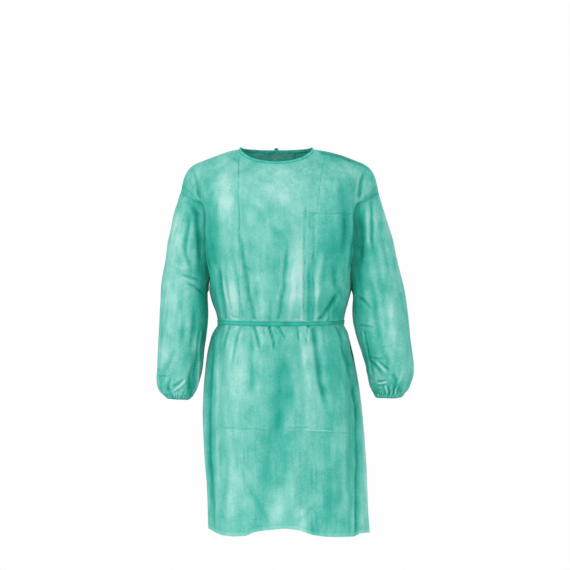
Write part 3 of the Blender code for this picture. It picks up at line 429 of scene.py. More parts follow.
# Broad paler and deeper clouds: mostly painted light and shade, with some of the web's own thin
# and thick patches. Across, down, half across, half down, amount.
PAINTED_LIGHT_AND_SHADE_FRONT = (
    (225, 200, 9, 30, 0.36), (276, 188, 32, 26, 0.22), (211.5, 236, 6.5, 34, -0.34),
    (284, 198, 8, 9, 0.14), (266, 209, 9, 10, -0.14), (274, 222, 4, 12, -0.12),
    (301, 262, 7, 44, 0.14), (344, 240, 7, 26, -0.20), (232, 300, 5, 22, 0.12),
    (217, 304, 5, 20, -0.22), (216, 342, 5, 20, -0.22), (351.5, 232, 4.5, 32, -0.24),
    (316.6, 300, 2, 16, 0.14), (373, 184, 6, 12, -0.10), (256, 226, 16, 36, 0.10),
    (262, 300, 9, 40, 0.08), (233, 296, 6, 30, 0.20), (296, 284, 8, 44, 0.26),
    (343, 206, 7, 26, -0.18), (333, 252, 13, 38, -0.24), (324, 196, 8, 20, 0.08),
    (332, 307, 13, 14, -0.26), (276, 250, 14, 18, -0.08), (236, 372, 13, 52, 0.26),
    (258, 352, 7, 22, 0.10), (283, 386, 13, 36, -0.20), (276, 452, 16, 34, -0.12),
    (306, 350, 4.5, 24, 0.22), (308, 394, 7, 34, 0.18), (335, 370, 13, 38, -0.20),
    (236, 486, 13, 44, 0.16), (280, 512, 17, 20, 0.22), (302, 520, 7, 16, 0.12),
    (258, 505, 7, 24, -0.12), (353, 436, 6, 90, -0.24), (211, 436, 4.5, 100, -0.24),
    (365, 500, 4.6, 36, 0.08), (331, 486, 15, 38, -0.10), (322, 446, 10, 18, 0.06),
    (214, 262, 6, 50, -0.12), (205, 176, 9, 12, 0.06), (336, 158, 17, 4.5, -0.20),
    (348, 172, 10, 8, 0.08), (200, 186, 4, 14, -0.10),
)
PAINTED_LIGHT_AND_SHADE_BACK = (
    (226, 200, 16, 40, 0.16), (262, 190, 20, 34, 0.12), (318, 210, 20, 44, 0.08),
    (340, 270, 10, 40, -0.20), (218, 276, 8, 36, -0.16), (256, 290, 12, 26, 0.12),
    (300, 300, 10, 24, 0.10), (236, 380, 14, 50, 0.14), (276, 410, 14, 44, -0.10),
    (316, 376, 12, 46, 0.10), (336, 480, 12, 46, 0.06), (244, 490, 16, 36, 0.12),
    (290, 500, 14, 30, -0.08), (214, 440, 6, 80, -0.18), (356, 440, 6, 80, -0.18),
)
PAINTED_LIGHT_AND_SHADE_RIGHT_ARM = (
    (175, 236, 10, 34, 0.22), (174, 300, 12, 40, 0.18), (170, 352, 12, 20, 0.10),
    (201, 254, 9, 50, -0.32), (204, 314, 9, 36, -0.30), (190, 386, 5, 16, -0.22),
    (168.5, 389, 2.4, 5, -0.34), (178, 394, 6, 3, 0.16), (193, 214, 6, 18, -0.20),
    (186, 340, 7, 20, -0.06),
)
PAINTED_LIGHT_AND_SHADE_LEFT_ARM = (
    (380, 220, 8, 30, 0.03), (388, 262, 8, 34, 0.08), (389, 322, 7, 26, 0.20),
    (362, 250, 8, 44, -0.30), (356, 300, 8, 34, -0.32), (368, 350, 7, 26, -0.32),
    (376, 389, 5, 7, -0.26), (358, 226, 3.8, 34, -0.40), (388, 376, 9, 9, -0.12),
    (404, 360, 7, 18, 0.06), (393, 389, 9, 7, -0.26), (384, 296, 6, 30, -0.08),
)
# What each arm has, with how far its cuff is drawn in at the end and its random seed.
Arm = namedtuple("Arm", "name side sections creases ticks clouds drawn_in seed")
ARMS = (
    Arm("right", -1.0, SLEEVE_RIGHT_ARM, CREASES_RIGHT_ARM, TICKS_RIGHT_ARM, PAINTED_LIGHT_AND_SHADE_RIGHT_ARM,
        10.5 * MM, 71),
    Arm("left", 1.0, SLEEVE_LEFT_ARM, CREASES_LEFT_ARM, TICKS_LEFT_ARM, PAINTED_LIGHT_AND_SHADE_LEFT_ARM,
        6.5 * MM, 91),
)
FRONT_ROWS = 286
FRONT_COLUMNS = 167
BACK_ROWS = 262
BACK_COLUMNS = 108
SLEEVE_COLUMNS = 220
SLEEVE_ROWS = 186
CUFF_LEVELS = 13
# Tone of each piece before its painted light and shade (clouds and creases): 0 is the deepest
# green,
# 1 the palest.
PANEL_TONE = 0.60
SLEEVE_TONE = 0.60
CUFF_TONE = 0.48
BINDING_TONE = 0.36
KNOT_TONE = 0.30
TIE_TONE = 0.42
BELT_TONE = 0.18
# Ripples at the belt: from, to and from one to the next across, and their height.
RIPPLES = (206.0, 356.0, 4.4)
RIPPLE_HEIGHT = 1.9 * MM
PLEAT_DEPTH = 2.8 * MM
# Lower edge of the front as it is seen: across, down.
HEM_LINE = (
    (205, 528.4), (209, 528.6), (216, 532.6), (223, 535.5), (234, 536.6), (246, 536), (255, 532),
    (264, 530.6), (273.5, 529.7), (286, 528.6), (298.7, 530.3), (312.5, 535), (325, 536.8),
    (338, 537.2), (354, 536.6), (361, 533.2), (369, 532.6), (374, 532.6),
)


def smooth(low, high, value):
    share = np.clip((value - low) / (high - low), 0.0, 1.0)
    return share * share * (3.0 - 2.0 * share)


def place(across, down, depth_mm, seen=True):
    """Turn outline steps and a depth (mm, front is negative) into metres."""
    depth = np.asarray(depth_mm) * MM
    near = (EYE_M + depth) / EYE_M if seen else np.ones_like(depth)
    x = (np.asarray(across) - ORIGIN_ACROSS) * STEP_M * near
    z = EYE_Z + (EYE_DOWN - np.asarray(down)) * STEP_M * near
    return np.stack(np.broadcast_arrays(x, depth, z), axis=-1)


def seen_from_front(points):
    """Outline steps at which the eye sees points in metres."""
    near = EYE_M / (EYE_M + points[..., 1])
    across = ORIGIN_ACROSS + points[..., 0] * near / STEP_M
    down = EYE_DOWN - (points[..., 2] - EYE_Z) * near / STEP_M
    return across, down


def unit(vectors):
    """The same directions at length 1."""
    return vectors / np.maximum(np.linalg.norm(vectors, axis=-1, keepdims=True), 1e-12)


def turned_to(outward, vectors):
    """The same vectors, reversed if they point against outward on the whole."""
    return -vectors if (vectors * outward).sum() < 0.0 else vectors


def steps_of(line):
    return np.linalg.norm(np.diff(line, axis=0), axis=-1)


def run_of(line):
    """How far along a line each of its points lies."""
    return np.concatenate([[0.0], np.cumsum(steps_of(line))])


def read(places, points, wanted):
    """Points between the given ones, at the wanted places along them."""
    return np.stack([np.interp(wanted, places, points[:, k]) for k in range(3)], axis=-1)


def curve(knots, values, wanted):
    """Smooth curve through values at unevenly spaced knots, read at the wanted places."""
    knots = np.asarray(knots, float)
    values = np.asarray(values, float)
    wanted = np.atleast_1d(np.asarray(wanted, float))
    step = np.diff(knots)
    slope = np.diff(values, axis=0) / step.reshape((-1,) + (1,) * (values.ndim - 1))
    tangent = np.empty_like(values)
    tangent[0] = slope[0]
    tangent[-1] = slope[-1]
    for i in range(1, len(knots) - 1):
        tangent[i] = (slope[i - 1] * step[i] + slope[i] * step[i - 1]) / (step[i - 1] + step[i])
    index = np.clip(np.searchsorted(knots, wanted, side="right") - 1, 0, len(knots) - 2)
    share = (wanted - knots[index]) / step[index]
    share = np.clip(share, 0.0, 1.0).reshape((-1,) + (1,) * (values.ndim - 1))
    width = step[index].reshape(share.shape)
    a, b = values[index], values[index + 1]
    ta, tb = tangent[index] * width, tangent[index + 1] * width
    s2, s3 = share * share, share * share * share
    return ((2 * s3 - 3 * s2 + 1) * a + (s3 - 2 * s2 + share) * ta
            + (3 * s2 - 2 * s3) * b + (s3 - s2) * tb)


def ring_row(ring, station, back):
    """A level section: an ellipse a little fuller at its corners."""
    down, left, right, front_depth, back_depth = ring
    angle = np.radians(np.interp(np.abs(station), range(8), STATION_ANGLE))
    centre, half = (left + right) / 2.0, (right - left) / 2.0
    across = centre + np.sign(station) * half * np.cos(angle) * (
        1.0 + FULLNESS * np.sin(angle) ** 2)
    reach = np.sin(angle) * (1.0 + FULLNESS * np.cos(angle) ** 2)
    depth = back_depth * reach if back else -front_depth * reach
    points = place(across, down, depth, seen=False)
    fade = np.clip(1.0 - (RINGS[0][0] - down) / (RINGS[0][0] - HEM_LIFT_FADE), 0.0, 1.0)
    lift = HEM_LIFT_BACK if back else HEM_LIFT_FRONT
    points[:, 2] += fade * MM * (lift * np.sin(angle) ** 2 - HEM_LEAN * 0.5 * station / SEAM)
    return points


def middle_of(station, neck):
    share = smooth(*NECK_MIDDLE_BLEND, np.abs(station))
    return (BODY_ACROSS + (NECK_ACROSS - BODY_ACROSS) * neck) * (1.0 - share) + BODY_ACROSS * share


def upper_row(row, station, back):
    """A section over the armhole, from its eight stations and their mirror images."""
    down_row, stations = row
    table = np.array(stations)
    if back:
        for i, (down, depth) in enumerate(UPPER_BACK[down_row]):
            table[i, 1:] = down, depth / BACK_SHARE
        table[:, 2] *= -BACK_SHARE
    reach = BODY_ACROSS - table[:, 0]
    reach[0] = 0.0
    neck = np.clip((243.0 - down_row) / (243.0 - RIDGE_ROW), 0.0, 1.0)
    middle = middle_of(np.arange(8.0), neck)
    left, right = (place(middle + side * reach, table[:, 1], -table[:, 2], not back)
                   for side in (-1.0, 1.0))
    points = np.concatenate([left[::-1], right[1:]])
    return curve(np.arange(-7.0, 8.0), points, station)


def top_row(station, back):
    """The neckline (station 0 to 2) and the shoulder line (2 to 7)."""
    size, sign = np.abs(station), np.where(station < 0.0, -1.0, 1.0)
    angle = np.radians(np.clip(size, 0.0, NECK) * 45.0)
    drop = NECK_DROP_BACK if back else NECK_DROP_FRONT
    reach = NECK_DEPTH_BACK if back else -NECK_DEPTH_FRONT
    neck = place(NECK_ACROSS + sign * NECK_HALF * np.sin(angle),
                 RIDGE[0][2] + drop * np.cos(angle), reach * np.cos(angle), not back)
    ridge = np.array(RIDGE)
    line = curve(ridge[:, 0], ridge[:, 1:], np.clip(size, NECK, SEAM))
    blend = smooth(NECK, 3.2, size)
    middle = NECK_ACROSS * (1.0 - blend) + BODY_ACROSS * blend
    shoulder = place(middle + sign * (middle - line[:, 0]), line[:, 1], np.zeros_like(size))
    return np.where((size <= NECK)[:, None], neck, shoulder)


def fall_row(station, back):
    """The row just under the neckline and the shoulder line."""
    fall = np.array(RIDGE_FALL)
    offset = curve(fall[:, 0], fall[:, 1:], np.abs(station)) * MM
    sign = np.where(station < 0.0, -1.0, 1.0)
    points = top_row(station, back)
    points[:, 0] += sign * offset[:, 0]
    points[:, 1] += offset[:, 1] * (NAPE_FALL_SHARE if back else -1.0)
    points[:, 2] -= offset[:, 2]
    return points


def fold_depth(across, down, folds):
    """Depth of the main folds at places seen from the front: soft troughs that fade out."""
    total = np.zeros_like(across)
    for ax, ay, bx, by, half_width, depth in folds:
        length2 = (bx - ax) ** 2 + (by - ay) ** 2
        along = ((across - ax) * (bx - ax) + (down - ay) * (by - ay)) / length2
        near = np.clip(along, 0.0, 1.0)
        away = np.hypot(across - ax - near * (bx - ax), down - ay - near * (by - ay))
        trough = np.clip(1.0 - (away / half_width) ** 2, 0.0, 1.0) ** 2
        fade = smooth(-0.05, 0.12, along) * (1.0 - smooth(0.55, 1.0, along))
        total += depth * MM * trough * fade
    return total


def normals_of(grid, closed=False):
    """Unit normals of a grid of points (rows, columns)."""
    if closed:
        across = np.roll(grid, -1, axis=1) - np.roll(grid, 1, axis=1)
    else:
        across = np.gradient(grid, axis=1)
    along = np.gradient(grid, axis=0)
    return unit(np.cross(across, along))


def body_grid(station, rows, back):
    """Middle of the cloth of the front or of the back, at the wanted stations and rows."""
    knots, sections = [], []
    for ring in RINGS:
        knots.append(-ring[0])
        sections.append(ring_row(ring, station, back))
    for row in UPPER:
        knots.append(-row[0])
        sections.append(upper_row(row, station, back))
    knots += [-FALL_ROW, -RIDGE_ROW]
    sections += [fall_row(station, back), top_row(station, back)]
    grid = curve(knots, np.array(sections), -np.asarray(rows))
    normal = normals_of(grid)
    turns = int(back) + int(rows[0] < rows[-1]) + int(station[0] > station[-1])
    if turns % 2:
        normal = -normal
    across, down = seen_from_front(grid)
    folds = FOLDS_BACK if back else FOLDS_FRONT
    return grid - normal * fold_depth(across, down, folds)[..., None], normal


def lap_station(stations, x_row, lap):
    """Station at which a row of the back is a given distance past the centre."""
    centre = np.interp(0.0, stations, x_row)
    return np.interp(centre + lap, x_row, stations)


def back_grid(side, over, rows, base):
    """Middle of the cloth of one half of the back, which runs past the centre by the lap."""
    stations = np.linspace(-SEAM, SEAM, 561)
    fine, fine_normal = body_grid(stations, rows, True)
    grid = np.empty((len(rows), len(base), 3))
    normal = np.empty_like(grid)
    middle = np.abs(stations) <= 3.0
    for i, row in enumerate(rows):
        lap = np.interp(row, (RIDGE_ROW, RINGS[0][0]), LAP_WIDTH)
        x_row = fine[i, middle, 0]
        edge = -side * lap_station(stations[middle], x_row, -side * lap)
        other_edge = -side * lap_station(stations[middle], x_row, side * lap)
        reach = np.where(base > -3.0, -3.0 + (base + 3.0) / (LAP_STATION + 3.0) * (edge + 3.0),
                         base)
        grid[i] = read(stations, fine[i], reach * -side)
        normal[i] = read(stations, fine_normal[i], reach * -side)
        if over:
            raised = smooth(other_edge - LAP_EASE, other_edge, reach)
            grid[i] += normal[i] * (raised * LAP_OUT)[:, None]
    return grid, normal


def armhole(side, rows):
    """The armhole's edge, from its top over the front, the underarm and the back, with the cloth's
    way to it, its normal there and the turn round the sleeve."""
    halves = []
    for back in (False, True):
        grid, normal = body_grid(np.array([6.9, 7.0]) * side, rows, back)
        halves.append(np.concatenate([grid[:, 1], grid[:, 1] - grid[:, 0], normal[:, 1]], axis=1))
    front, back = halves
    angle = math.pi * run_of(front[:, :3]) / steps_of(front[:, :3]).sum()
    loop = np.concatenate([front, back[-2:0:-1]])
    angle = np.concatenate([angle, TURN - angle[-2:0:-1]])
    return loop[:, :3], unit(loop[:, 3:6]), unit(loop[:, 6:]), angle


def sleeve_rings(side, table, rows, cloth):
    """Rings of a sleeve, from its armhole to the wrist; each starts at the outer edge."""
    seam, out, normal, angle = armhole(side, rows)
    rings = []
    for blend, outer_x, outer_z, inner_x, inner_z, half_depth, depth in table:
        share = (1.0 - np.cos(angle)) / 2.0
        across = outer_x + (inner_x - outer_x) * share
        down = outer_z + (inner_z - outer_z) * share
        ring = place(across, down, depth - half_depth * np.sin(angle), seen=False)
        rings.append(seam + (ring - seam) * blend)
    way = unit(rings[0] - seam)
    turn = np.degrees(np.arccos(np.clip((way * out).sum(axis=1), -1.0, 1.0)))
    low = np.degrees(np.pi - np.abs(angle - np.pi))
    folded = np.maximum(smooth(*SEAM_TURN, turn), smooth(*SEAM_LOW, low))[:, None]
    ease = SEAM_EASE * smooth(*SEAM_LOW, low)[:, None]
    first = (seam + way * SEAM_GAP * (2.0 - folded)
             + normal * (folded * (cloth + SEAM_GAP * 2.0) + ease))
    return np.array([first] + rings), angle


def evened(line, count):
    """The same line with evenly spaced points."""
    run = run_of(line)
    return read(run, line, np.linspace(0.0, run[-1], count))


def across_of(line):
    """Level unit vectors that point out from a line round the body, counted from above."""
    way = np.gradient(line, axis=0)
    out = unit(np.stack([way[:, 1], -way[:, 0], np.zeros(len(line))], axis=1))
    return turned_to(line - line.mean(axis=0), out)


def swell(points, size, seed, stretch=(1.0, 1.0, 1.0)):
    """Uneven soft swells, about as long as size in metres, mostly from -1 to 1."""
    rng = np.random.default_rng(seed)
    ways = unit(rng.normal(size=(SWELL_WAVES, 3)))
    lengths = size * rng.uniform(0.7, 1.6, SWELL_WAVES)
    phases = rng.uniform(0.0, TURN, SWELL_WAVES)
    scaled = points / np.array(stretch)
    total = np.zeros(points.shape[:-1])
    for way, length, phase in zip(ways, lengths, phases):
        total += np.sin(scaled @ way * (TURN / length) + phase)
    return total / math.sqrt(SWELL_WAVES)


def along_path(across, down, path):
    """Distance to a bent line and how far along it the nearest place is, from 0 to 1."""
    path = np.reshape(path, (-1, 2))
    run = run_of(path)
    best = np.full(across.shape, np.inf)
    share = np.zeros(across.shape)
    for i, step in enumerate(steps_of(path)):
        ax, ay = path[i]
        ux, uy = (path[i + 1] - path[i]) / step
        t = (across - ax) * ux + (down - ay) * uy
        near = np.clip(t, 0.0, step)
        away = np.hypot(across - ax - near * ux, down - ay - near * uy)
        closer = away < best
        best = np.where(closer, away, best)
        share = np.where(closer, (run[i] + near) / run[-1], share)
    return best, share


def creases_at(across, down, creases):
    """Depth in metres and painted shade of placed creases, with painted highlights on their rims;
    they thin out at both ends.
    """
    depth, crease_shading = np.zeros(across.shape), np.zeros(across.shape)
    # green is how much painted shade the crease gets; the rims beside it get a painted highlight
    for path, half_width, trough, green, sharp in creases:
        away, share = along_path(across, down, path)
        near = np.clip(1.0 - away / half_width, 0.0, 1.0)
        shape = near ** 1.6 if sharp else near * near * (3.0 - 2.0 * near)
        # a trough that the belt gathers is deepest at the belt
        ends = [0.02 if trough > 0.0 and abs(down_at - BELT_DOWN) < 7.0 else 0.06 if sharp
                else 0.30 for down_at in (path[1], path[-1])]
        fade = smooth(0.0, ends[0], share) * (1.0 - smooth(1.0 - ends[1], 1.0, share)) + (
            CREASE_LEAST * (share > 0.0) * (share < 1.0))
        fade = np.minimum(fade, 1.0)
        rim = np.exp(-((away / half_width - RIM_AWAY) / RIM_WIDTH) ** 2)
        depth += CREASE_DEPTH_GAIN * trough * MM * (shape - RIM_HEIGHT * rim) * fade
        crease_shading += CREASE_SHADE_GAIN * green * (shape - RIM_HIGHLIGHT * rim) * fade
    return depth, crease_shading


def ticks_at(across, down, paths):
    """Small puckers side by side across a seam."""
    total = np.zeros(across.shape)
    for path in paths:
        away, share = along_path(across, down, path)
        length = steps_of(np.reshape(path, (-1, 2))).sum()
        wave = 0.5 + 0.5 * np.sin(share * length / TICK_PITCH * TURN)
        ends = smooth(0.0, 0.1, share) * (1.0 - smooth(0.9, 1.0, share))
        total += wave * np.exp(-(away / TICK_REACH) ** 4) * ends
    return total


# Painted light and shade: soft paler and deeper clouds, one added to the next.
def light_and_shade_at(across, down, clouds):
    total = np.zeros(across.shape)
    for x, y, half_x, half_y, amount in clouds:
        total += amount * np.exp(-((across - x) / half_x) ** 2 - ((down - y) / half_y) ** 2)
    return total


def band(value, low, high):
    """1 between low and high, with soft ends."""
    edge = (high - low) * 0.2
    return smooth(low, low + edge, value) * (1.0 - smooth(high - edge, high, value))


def linear(code):
    """Linear colour of an sRGB hex code such as #6FC6B8."""
    parts = [int(code[i:i + 2], 16) / 255.0 for i in (1, 3, 5)]
    return tuple(c / 12.92 if c <= 0.04045 else ((c + 0.055) / 1.055) ** 2.4 for c in parts)


def new_object(name, data):
    made = bpy.data.objects.new(name, data)
    bpy.context.scene.collection.objects.link(made)
    return made


def new_piece(name, points, faces, material, tone=None, replaced=(), slot=None):
    """A smooth shaded mesh that rides on the gown."""
    mesh = bpy.data.meshes.new(name)
    mesh.from_pydata(points.tolist(), [], faces)
    mesh.materials.append(material)
    mesh.polygons.foreach_set("use_smooth", [True] * len(mesh.polygons))
    if tone is not None:
        layer = mesh.attributes.new("tone", "FLOAT", "POINT")
        layer.data.foreach_set("value", np.clip(tone, 0.0, 1.0).ravel().astype(np.float32))
    mesh.update()
    mesh.set_sharp_from_angle(angle=math.radians(66.0))
    piece = new_object(name, mesh)
    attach(piece, "root")
    if replaced:
        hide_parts(*replaced)
    return piece


def cloth_shell(name, grid, tone, thick, material, outward, closed=False, **how):
    """Thicken a grid of points to a thin closed cloth."""
    rows, columns = grid.shape[:2]
    natural = normals_of(grid, closed)
    normal = turned_to(outward, natural)
    points = np.concatenate([(grid + normal * thick / 2.0).reshape(-1, 3),
                             (grid - normal * thick / 2.0).reshape(-1, 3)])
    i, j = np.meshgrid(np.arange(rows - 1), np.arange(columns if closed else columns - 1),
                       indexing="ij")
    k = (j + 1) % columns
    a, b = i * columns + j, i * columns + k
    c, d = (i + 1) * columns + k, (i + 1) * columns + j
    outer = np.stack([a, b, c, d], axis=-1).reshape(-1, 4)
    shift = rows * columns
    edges = [(a[0], b[0]), (c[-1], d[-1])]
    if not closed:
        edges += [(d[:, 0], a[:, 0]), (b[:, -1], c[:, -1])]
    rims = [np.stack([second, first, first + shift, second + shift], axis=-1)
            for first, second in edges]
    faces = np.concatenate([outer, outer[:, ::-1] + shift] + rims)
    if normal is not natural:
        faces = faces[:, ::-1]
    # the inner face is a little deeper: painted shade inside the gown
    tones = np.concatenate([tone.ravel(), tone.ravel() - INSIDE_SHADE])
    return new_piece(name, points, faces.tolist(), material, tones, **how)


def tube_faces(rings, sides, closed=False):
    """Faces of a tube, ring after ring, with a lid at each end unless it closes on itself."""
    faces = []
    for i in range(rings if closed else rings - 1):
        here, there = i * sides, (i + 1) % rings * sides
        faces += [(here + j, here + (j + 1) % sides, there + (j + 1) % sides, there + j)
                  for j in range(sides)]
    if not closed:
        faces.append(tuple(range(sides))[::-1])
        faces.append(tuple(range((rings - 1) * sides, rings * sides)))
    return faces


def strip(name, low, high, out, thick, tone, groove, edge=0.20, sides=14, closed=False, **how):
    """A folded strip between two edge lines: a flat, rounded section with a pressed middle."""
    count = len(low)
    turn = np.linspace(0.0, TURN, sides, endpoint=False)
    u = np.sign(np.cos(turn)) * np.abs(np.cos(turn)) ** 0.55
    v = np.sign(np.sin(turn)) * np.abs(np.sin(turn)) ** 0.6
    v = v * (1.0 - groove * np.exp(-(u / 0.35) ** 2))
    middle, half = (low + high) / 2.0, (high - low) / 2.0
    thick = np.broadcast_to(np.asarray(thick, float), (count,))
    points = (middle[:, None] + half[:, None] * u[None, :, None]
              + out[:, None] * (thick[:, None] / 2.0 * v)[..., None])
    faces = tube_faces(count, sides, closed)
    if (np.cross(half, out) * np.gradient(middle, axis=0)).sum() > 0.0:
        faces = [face[::-1] for face in faces]
    tones = np.broadcast_to(np.asarray(tone, float).reshape(-1, 1), (count, sides))
    # painted shade at the strip's rounded edges, with a painted highlight along its middle
    tones = tones - edge * np.abs(u) ** 3 + edge * 0.4 * (1.0 - np.abs(u)) ** 2
    return new_piece(name, points.reshape(-1, 3), faces, looks()["folded"], tones,
                     slot="nonwoven_folded", **how)


def stitches(name, line, normal, pitch, length, radius, material):
    """A row of stitches: small thread loops laid along a seam."""
    run = run_of(line)
    shape = tube_faces(len(STITCH_LEVELS), STITCH_SIDES)
    turn = np.arange(STITCH_SIDES) * TURN / STITCH_SIDES
    points, faces = [], []
    for start in np.arange(pitch * 0.5, run[-1] - length, pitch):
        ends = read(run, line, start + length * np.array([0.0, 1.0]))
        way = ends[1] - ends[0]
        side = np.cross(way, read(run, normal, start + length / 2.0))
        if np.linalg.norm(side) < 1e-9:
            continue
        side = unit(side)
        up = np.cross(side, unit(way))
        base = len(points)
        for share, fat in STITCH_LEVELS:
            centre = ends[0] + way * share + up * (4.0 * share * (1.0 - share) * radius * 0.8)
            points += [centre + radius * fat * (math.cos(t) * side + math.sin(t) * up)
                       for t in turn]
        faces += [tuple(base + v for v in face[:1] + face[:0:-1]) for face in shape]
    return new_piece(name, np.array(points), faces, material)


def sew(name, line, normal):
    """Sew a seam with the thread."""
    trim = bpy.context.scene.gown_trim
    stitches(name, line, normal, trim.stitch_pitch, trim.stitch_length, trim.thread / 2.0,
             looks()["thread"])


def add_node(tree, kind, spot=(0.0, 0.0), settings=None, values=None, links=None):
    """Add one shader node with its settings, values and links."""
    node = tree.nodes.new(kind)
    node.location = spot
    for key, value in (settings or {}).items():
        setattr(node, key, value)
    for key, value in (values or {}).items():
        node.inputs[key].default_value = value
    for key, socket in (links or {}).items():
        tree.links.new(socket, node.inputs[key])
    return node


def new_material(name, spot):
    """A new material with its node tree and the place on the object."""
    material = bpy.data.materials.new(name)
    material.use_nodes = True
    tree = material.node_tree
    tree.nodes.clear()
    return material, tree, add_node(tree, "ShaderNodeTexCoord", spot).outputs["Object"]


def noise(tree, spot, vector, scale, detail=2.0, roughness=0.5):
    return add_node(tree, "ShaderNodeTexNoise", spot,
                    values={"Scale": scale, "Detail": detail, "Roughness": roughness},
                    links={"Vector": vector}).outputs["Fac"]


def bump(tree, spot, strength, distance, height):
    return add_node(tree, "ShaderNodeBump", spot,
                    values={"Strength": strength, "Distance": distance},
                    links={"Height": height}).outputs["Normal"]


def surface(tree, spot, shader):
    add_node(tree, "ShaderNodeOutputMaterial", spot, links={"Surface": shader.outputs[0]})


def nonwoven_look(name, colours, patchy, folded):
    """Spunbond polypropylene nonwoven: endless filaments laid flat and hot pressed point by point.
    That gives the eye a matt, cloudy web, lighter where it is thin, with faint streaks along the
    roll, a soft sheen of the filaments, and light that comes through from behind."""
    material, tree, place_of = new_material(name, (-1500, 0))
    # the tone attribute carries painted light and shade along with the web's own tone
    tone = add_node(tree, "ShaderNodeAttribute", (-1100, 400), {"attribute_name": "tone"})
    # the web's clouds are about 40 mm across, with smaller ones inside them
    clouds = noise(tree, (-1100, 200), place_of, 1.0 / 0.040, 4.0, 0.62)
    # streaks of filaments along the roll: 7.5 mm wide, 85 mm long
    drawn = add_node(tree, "ShaderNodeMapping", (-1300, -60),
                     values={"Scale": (1.0 / 0.0075, 1.0 / 0.0075, 1.0 / 0.085)},
                     links={"Vector": place_of})
    streaks = noise(tree, (-1100, -60), drawn.outputs["Vector"], 1.0, 3.0, 0.6)
    # single filaments are 0.02 mm, too fine to show, so their tangle is drawn 4.4 mm across
    tangle = noise(tree, (-1100, -300), place_of, 1.0 / 0.0044, 2.0, 0.6)
    # the pressed points stand 1.2 mm apart, drawn 2.4 mm apart so that they show
    points = add_node(tree, "ShaderNodeTexVoronoi", (-1100, -560), {"feature": "F1"},
                      values={"Scale": 1.0 / 0.0024, "Randomness": 0.25},
                      links={"Vector": place_of})
    depth = tone.outputs["Fac"]
    for grain, weight, down in ((clouds, 0.46, 300), (streaks, 0.18, 100), (tangle, 0.34, -100)):
        shifted = add_node(tree, "ShaderNodeMath", (-860, down), {"operation": "SUBTRACT"},
                           values={1: 0.5}, links={0: grain})
        depth = add_node(tree, "ShaderNodeMath", (-680, down), {"operation": "MULTIPLY_ADD"},
                         values={1: weight * patchy},
                         links={0: shifted.outputs[0], 2: depth}).outputs[0]
    ramp = add_node(tree, "ShaderNodeValToRGB", (-400, 200), links={"Fac": depth})
    stops = ramp.color_ramp.elements
    while len(stops) < len(colours):
        stops.new(0.5)
    for i, colour in enumerate(colours):
        stops[i].position = i / (len(colours) - 1.0)
        stops[i].color = (*colour, 1.0)
    height = add_node(tree, "ShaderNodeMath", (-620, -360), {"operation": "MULTIPLY_ADD"},
                      values={1: 0.5}, links={0: points.outputs["Distance"], 2: tangle})
    normal = bump(tree, (-400, -300), 0.30 if folded else 0.24, 0.0006, height.outputs[0])
    dull = add_node(tree, "ShaderNodeMapRange", (-400, -60),
                    values={"From Min": 0.3, "From Max": 0.7, "To Min": 0.56, "To Max": 0.78},
                    links={"Value": tangle})
    cloth = add_node(tree, "ShaderNodeBsdfPrincipled", (-80, 200),
                     values={"IOR": 1.49, "Sheen Weight": 0.05, "Sheen Roughness": 0.4,
                             "Sheen Tint": (0.55, 1.0, 0.92, 1.0), "Specular IOR Level": 0.2},
                     links={"Base Color": ramp.outputs["Color"],
                            "Roughness": dull.outputs["Result"], "Normal": normal})
    through = add_node(tree, "ShaderNodeBsdfTranslucent", (-80, -260),
                       links={"Color": ramp.outputs["Color"], "Normal": normal})
    mixed = add_node(tree, "ShaderNodeMixShader", (240, 100),
                     values={"Fac": 0.10 if folded else 0.30},
                     links={1: cloth.outputs[0], 2: through.outputs[0]})
    surface(tree, (460, 100), mixed)
    return material


def thread_look(colour):
    """Spun polyester sewing thread, dyed to match: two twisted plies, so it looks soft and matt
    with fine slanting shadows between the plies."""
    material, tree, place_of = new_material("spun_polyester_thread", (-900, 0))
    # the plies turn once in 0.5 mm, drawn at 1 mm
    plies = add_node(tree, "ShaderNodeTexWave", (-700, 0), {"bands_direction": "DIAGONAL"},
                     values={"Scale": 1.0 / 0.001 / 6.28, "Distortion": 1.0},
                     links={"Vector": place_of}).outputs["Fac"]
    shade = add_node(tree, "ShaderNodeMix", (-420, 100), {"data_type": "RGBA"},
                     values={6: (*[c * 0.7 for c in colour], 1.0), 7: (*colour, 1.0)},
                     links={0: plies})
    thread = add_node(tree, "ShaderNodeBsdfPrincipled", (-160, 100),
                      values={"IOR": 1.54, "Roughness": 0.62, "Sheen Weight": 0.15},
                      links={"Base Color": shade.outputs[2],
                             "Normal": bump(tree, (-420, -200), 0.4, 0.0002, plies)})
    surface(tree, (120, 100), thread)
    return material


def floor_look(colour):
    """Smooth paper backdrop: coated paper on a roll, matt and even, with the faintest tooth."""
    material, tree, place_of = new_material("studio_paper", (-700, 0))
    # the paper's tooth is 4 mm across
    tooth = noise(tree, (-500, 0), place_of, 1.0 / 0.004)
    paper = add_node(tree, "ShaderNodeBsdfPrincipled", (-80, 0),
                     values={"Base Color": (*colour, 1.0), "Roughness": 0.85, "IOR": 1.5},
                     links={"Normal": bump(tree, (-300, -100), 0.05, 0.0002, tooth)})
    surface(tree, (200, 0), paper)
    return material


COLOUR = {"size": 3, "min": 0.0, "max": 1.0, "subtype": "COLOR"}


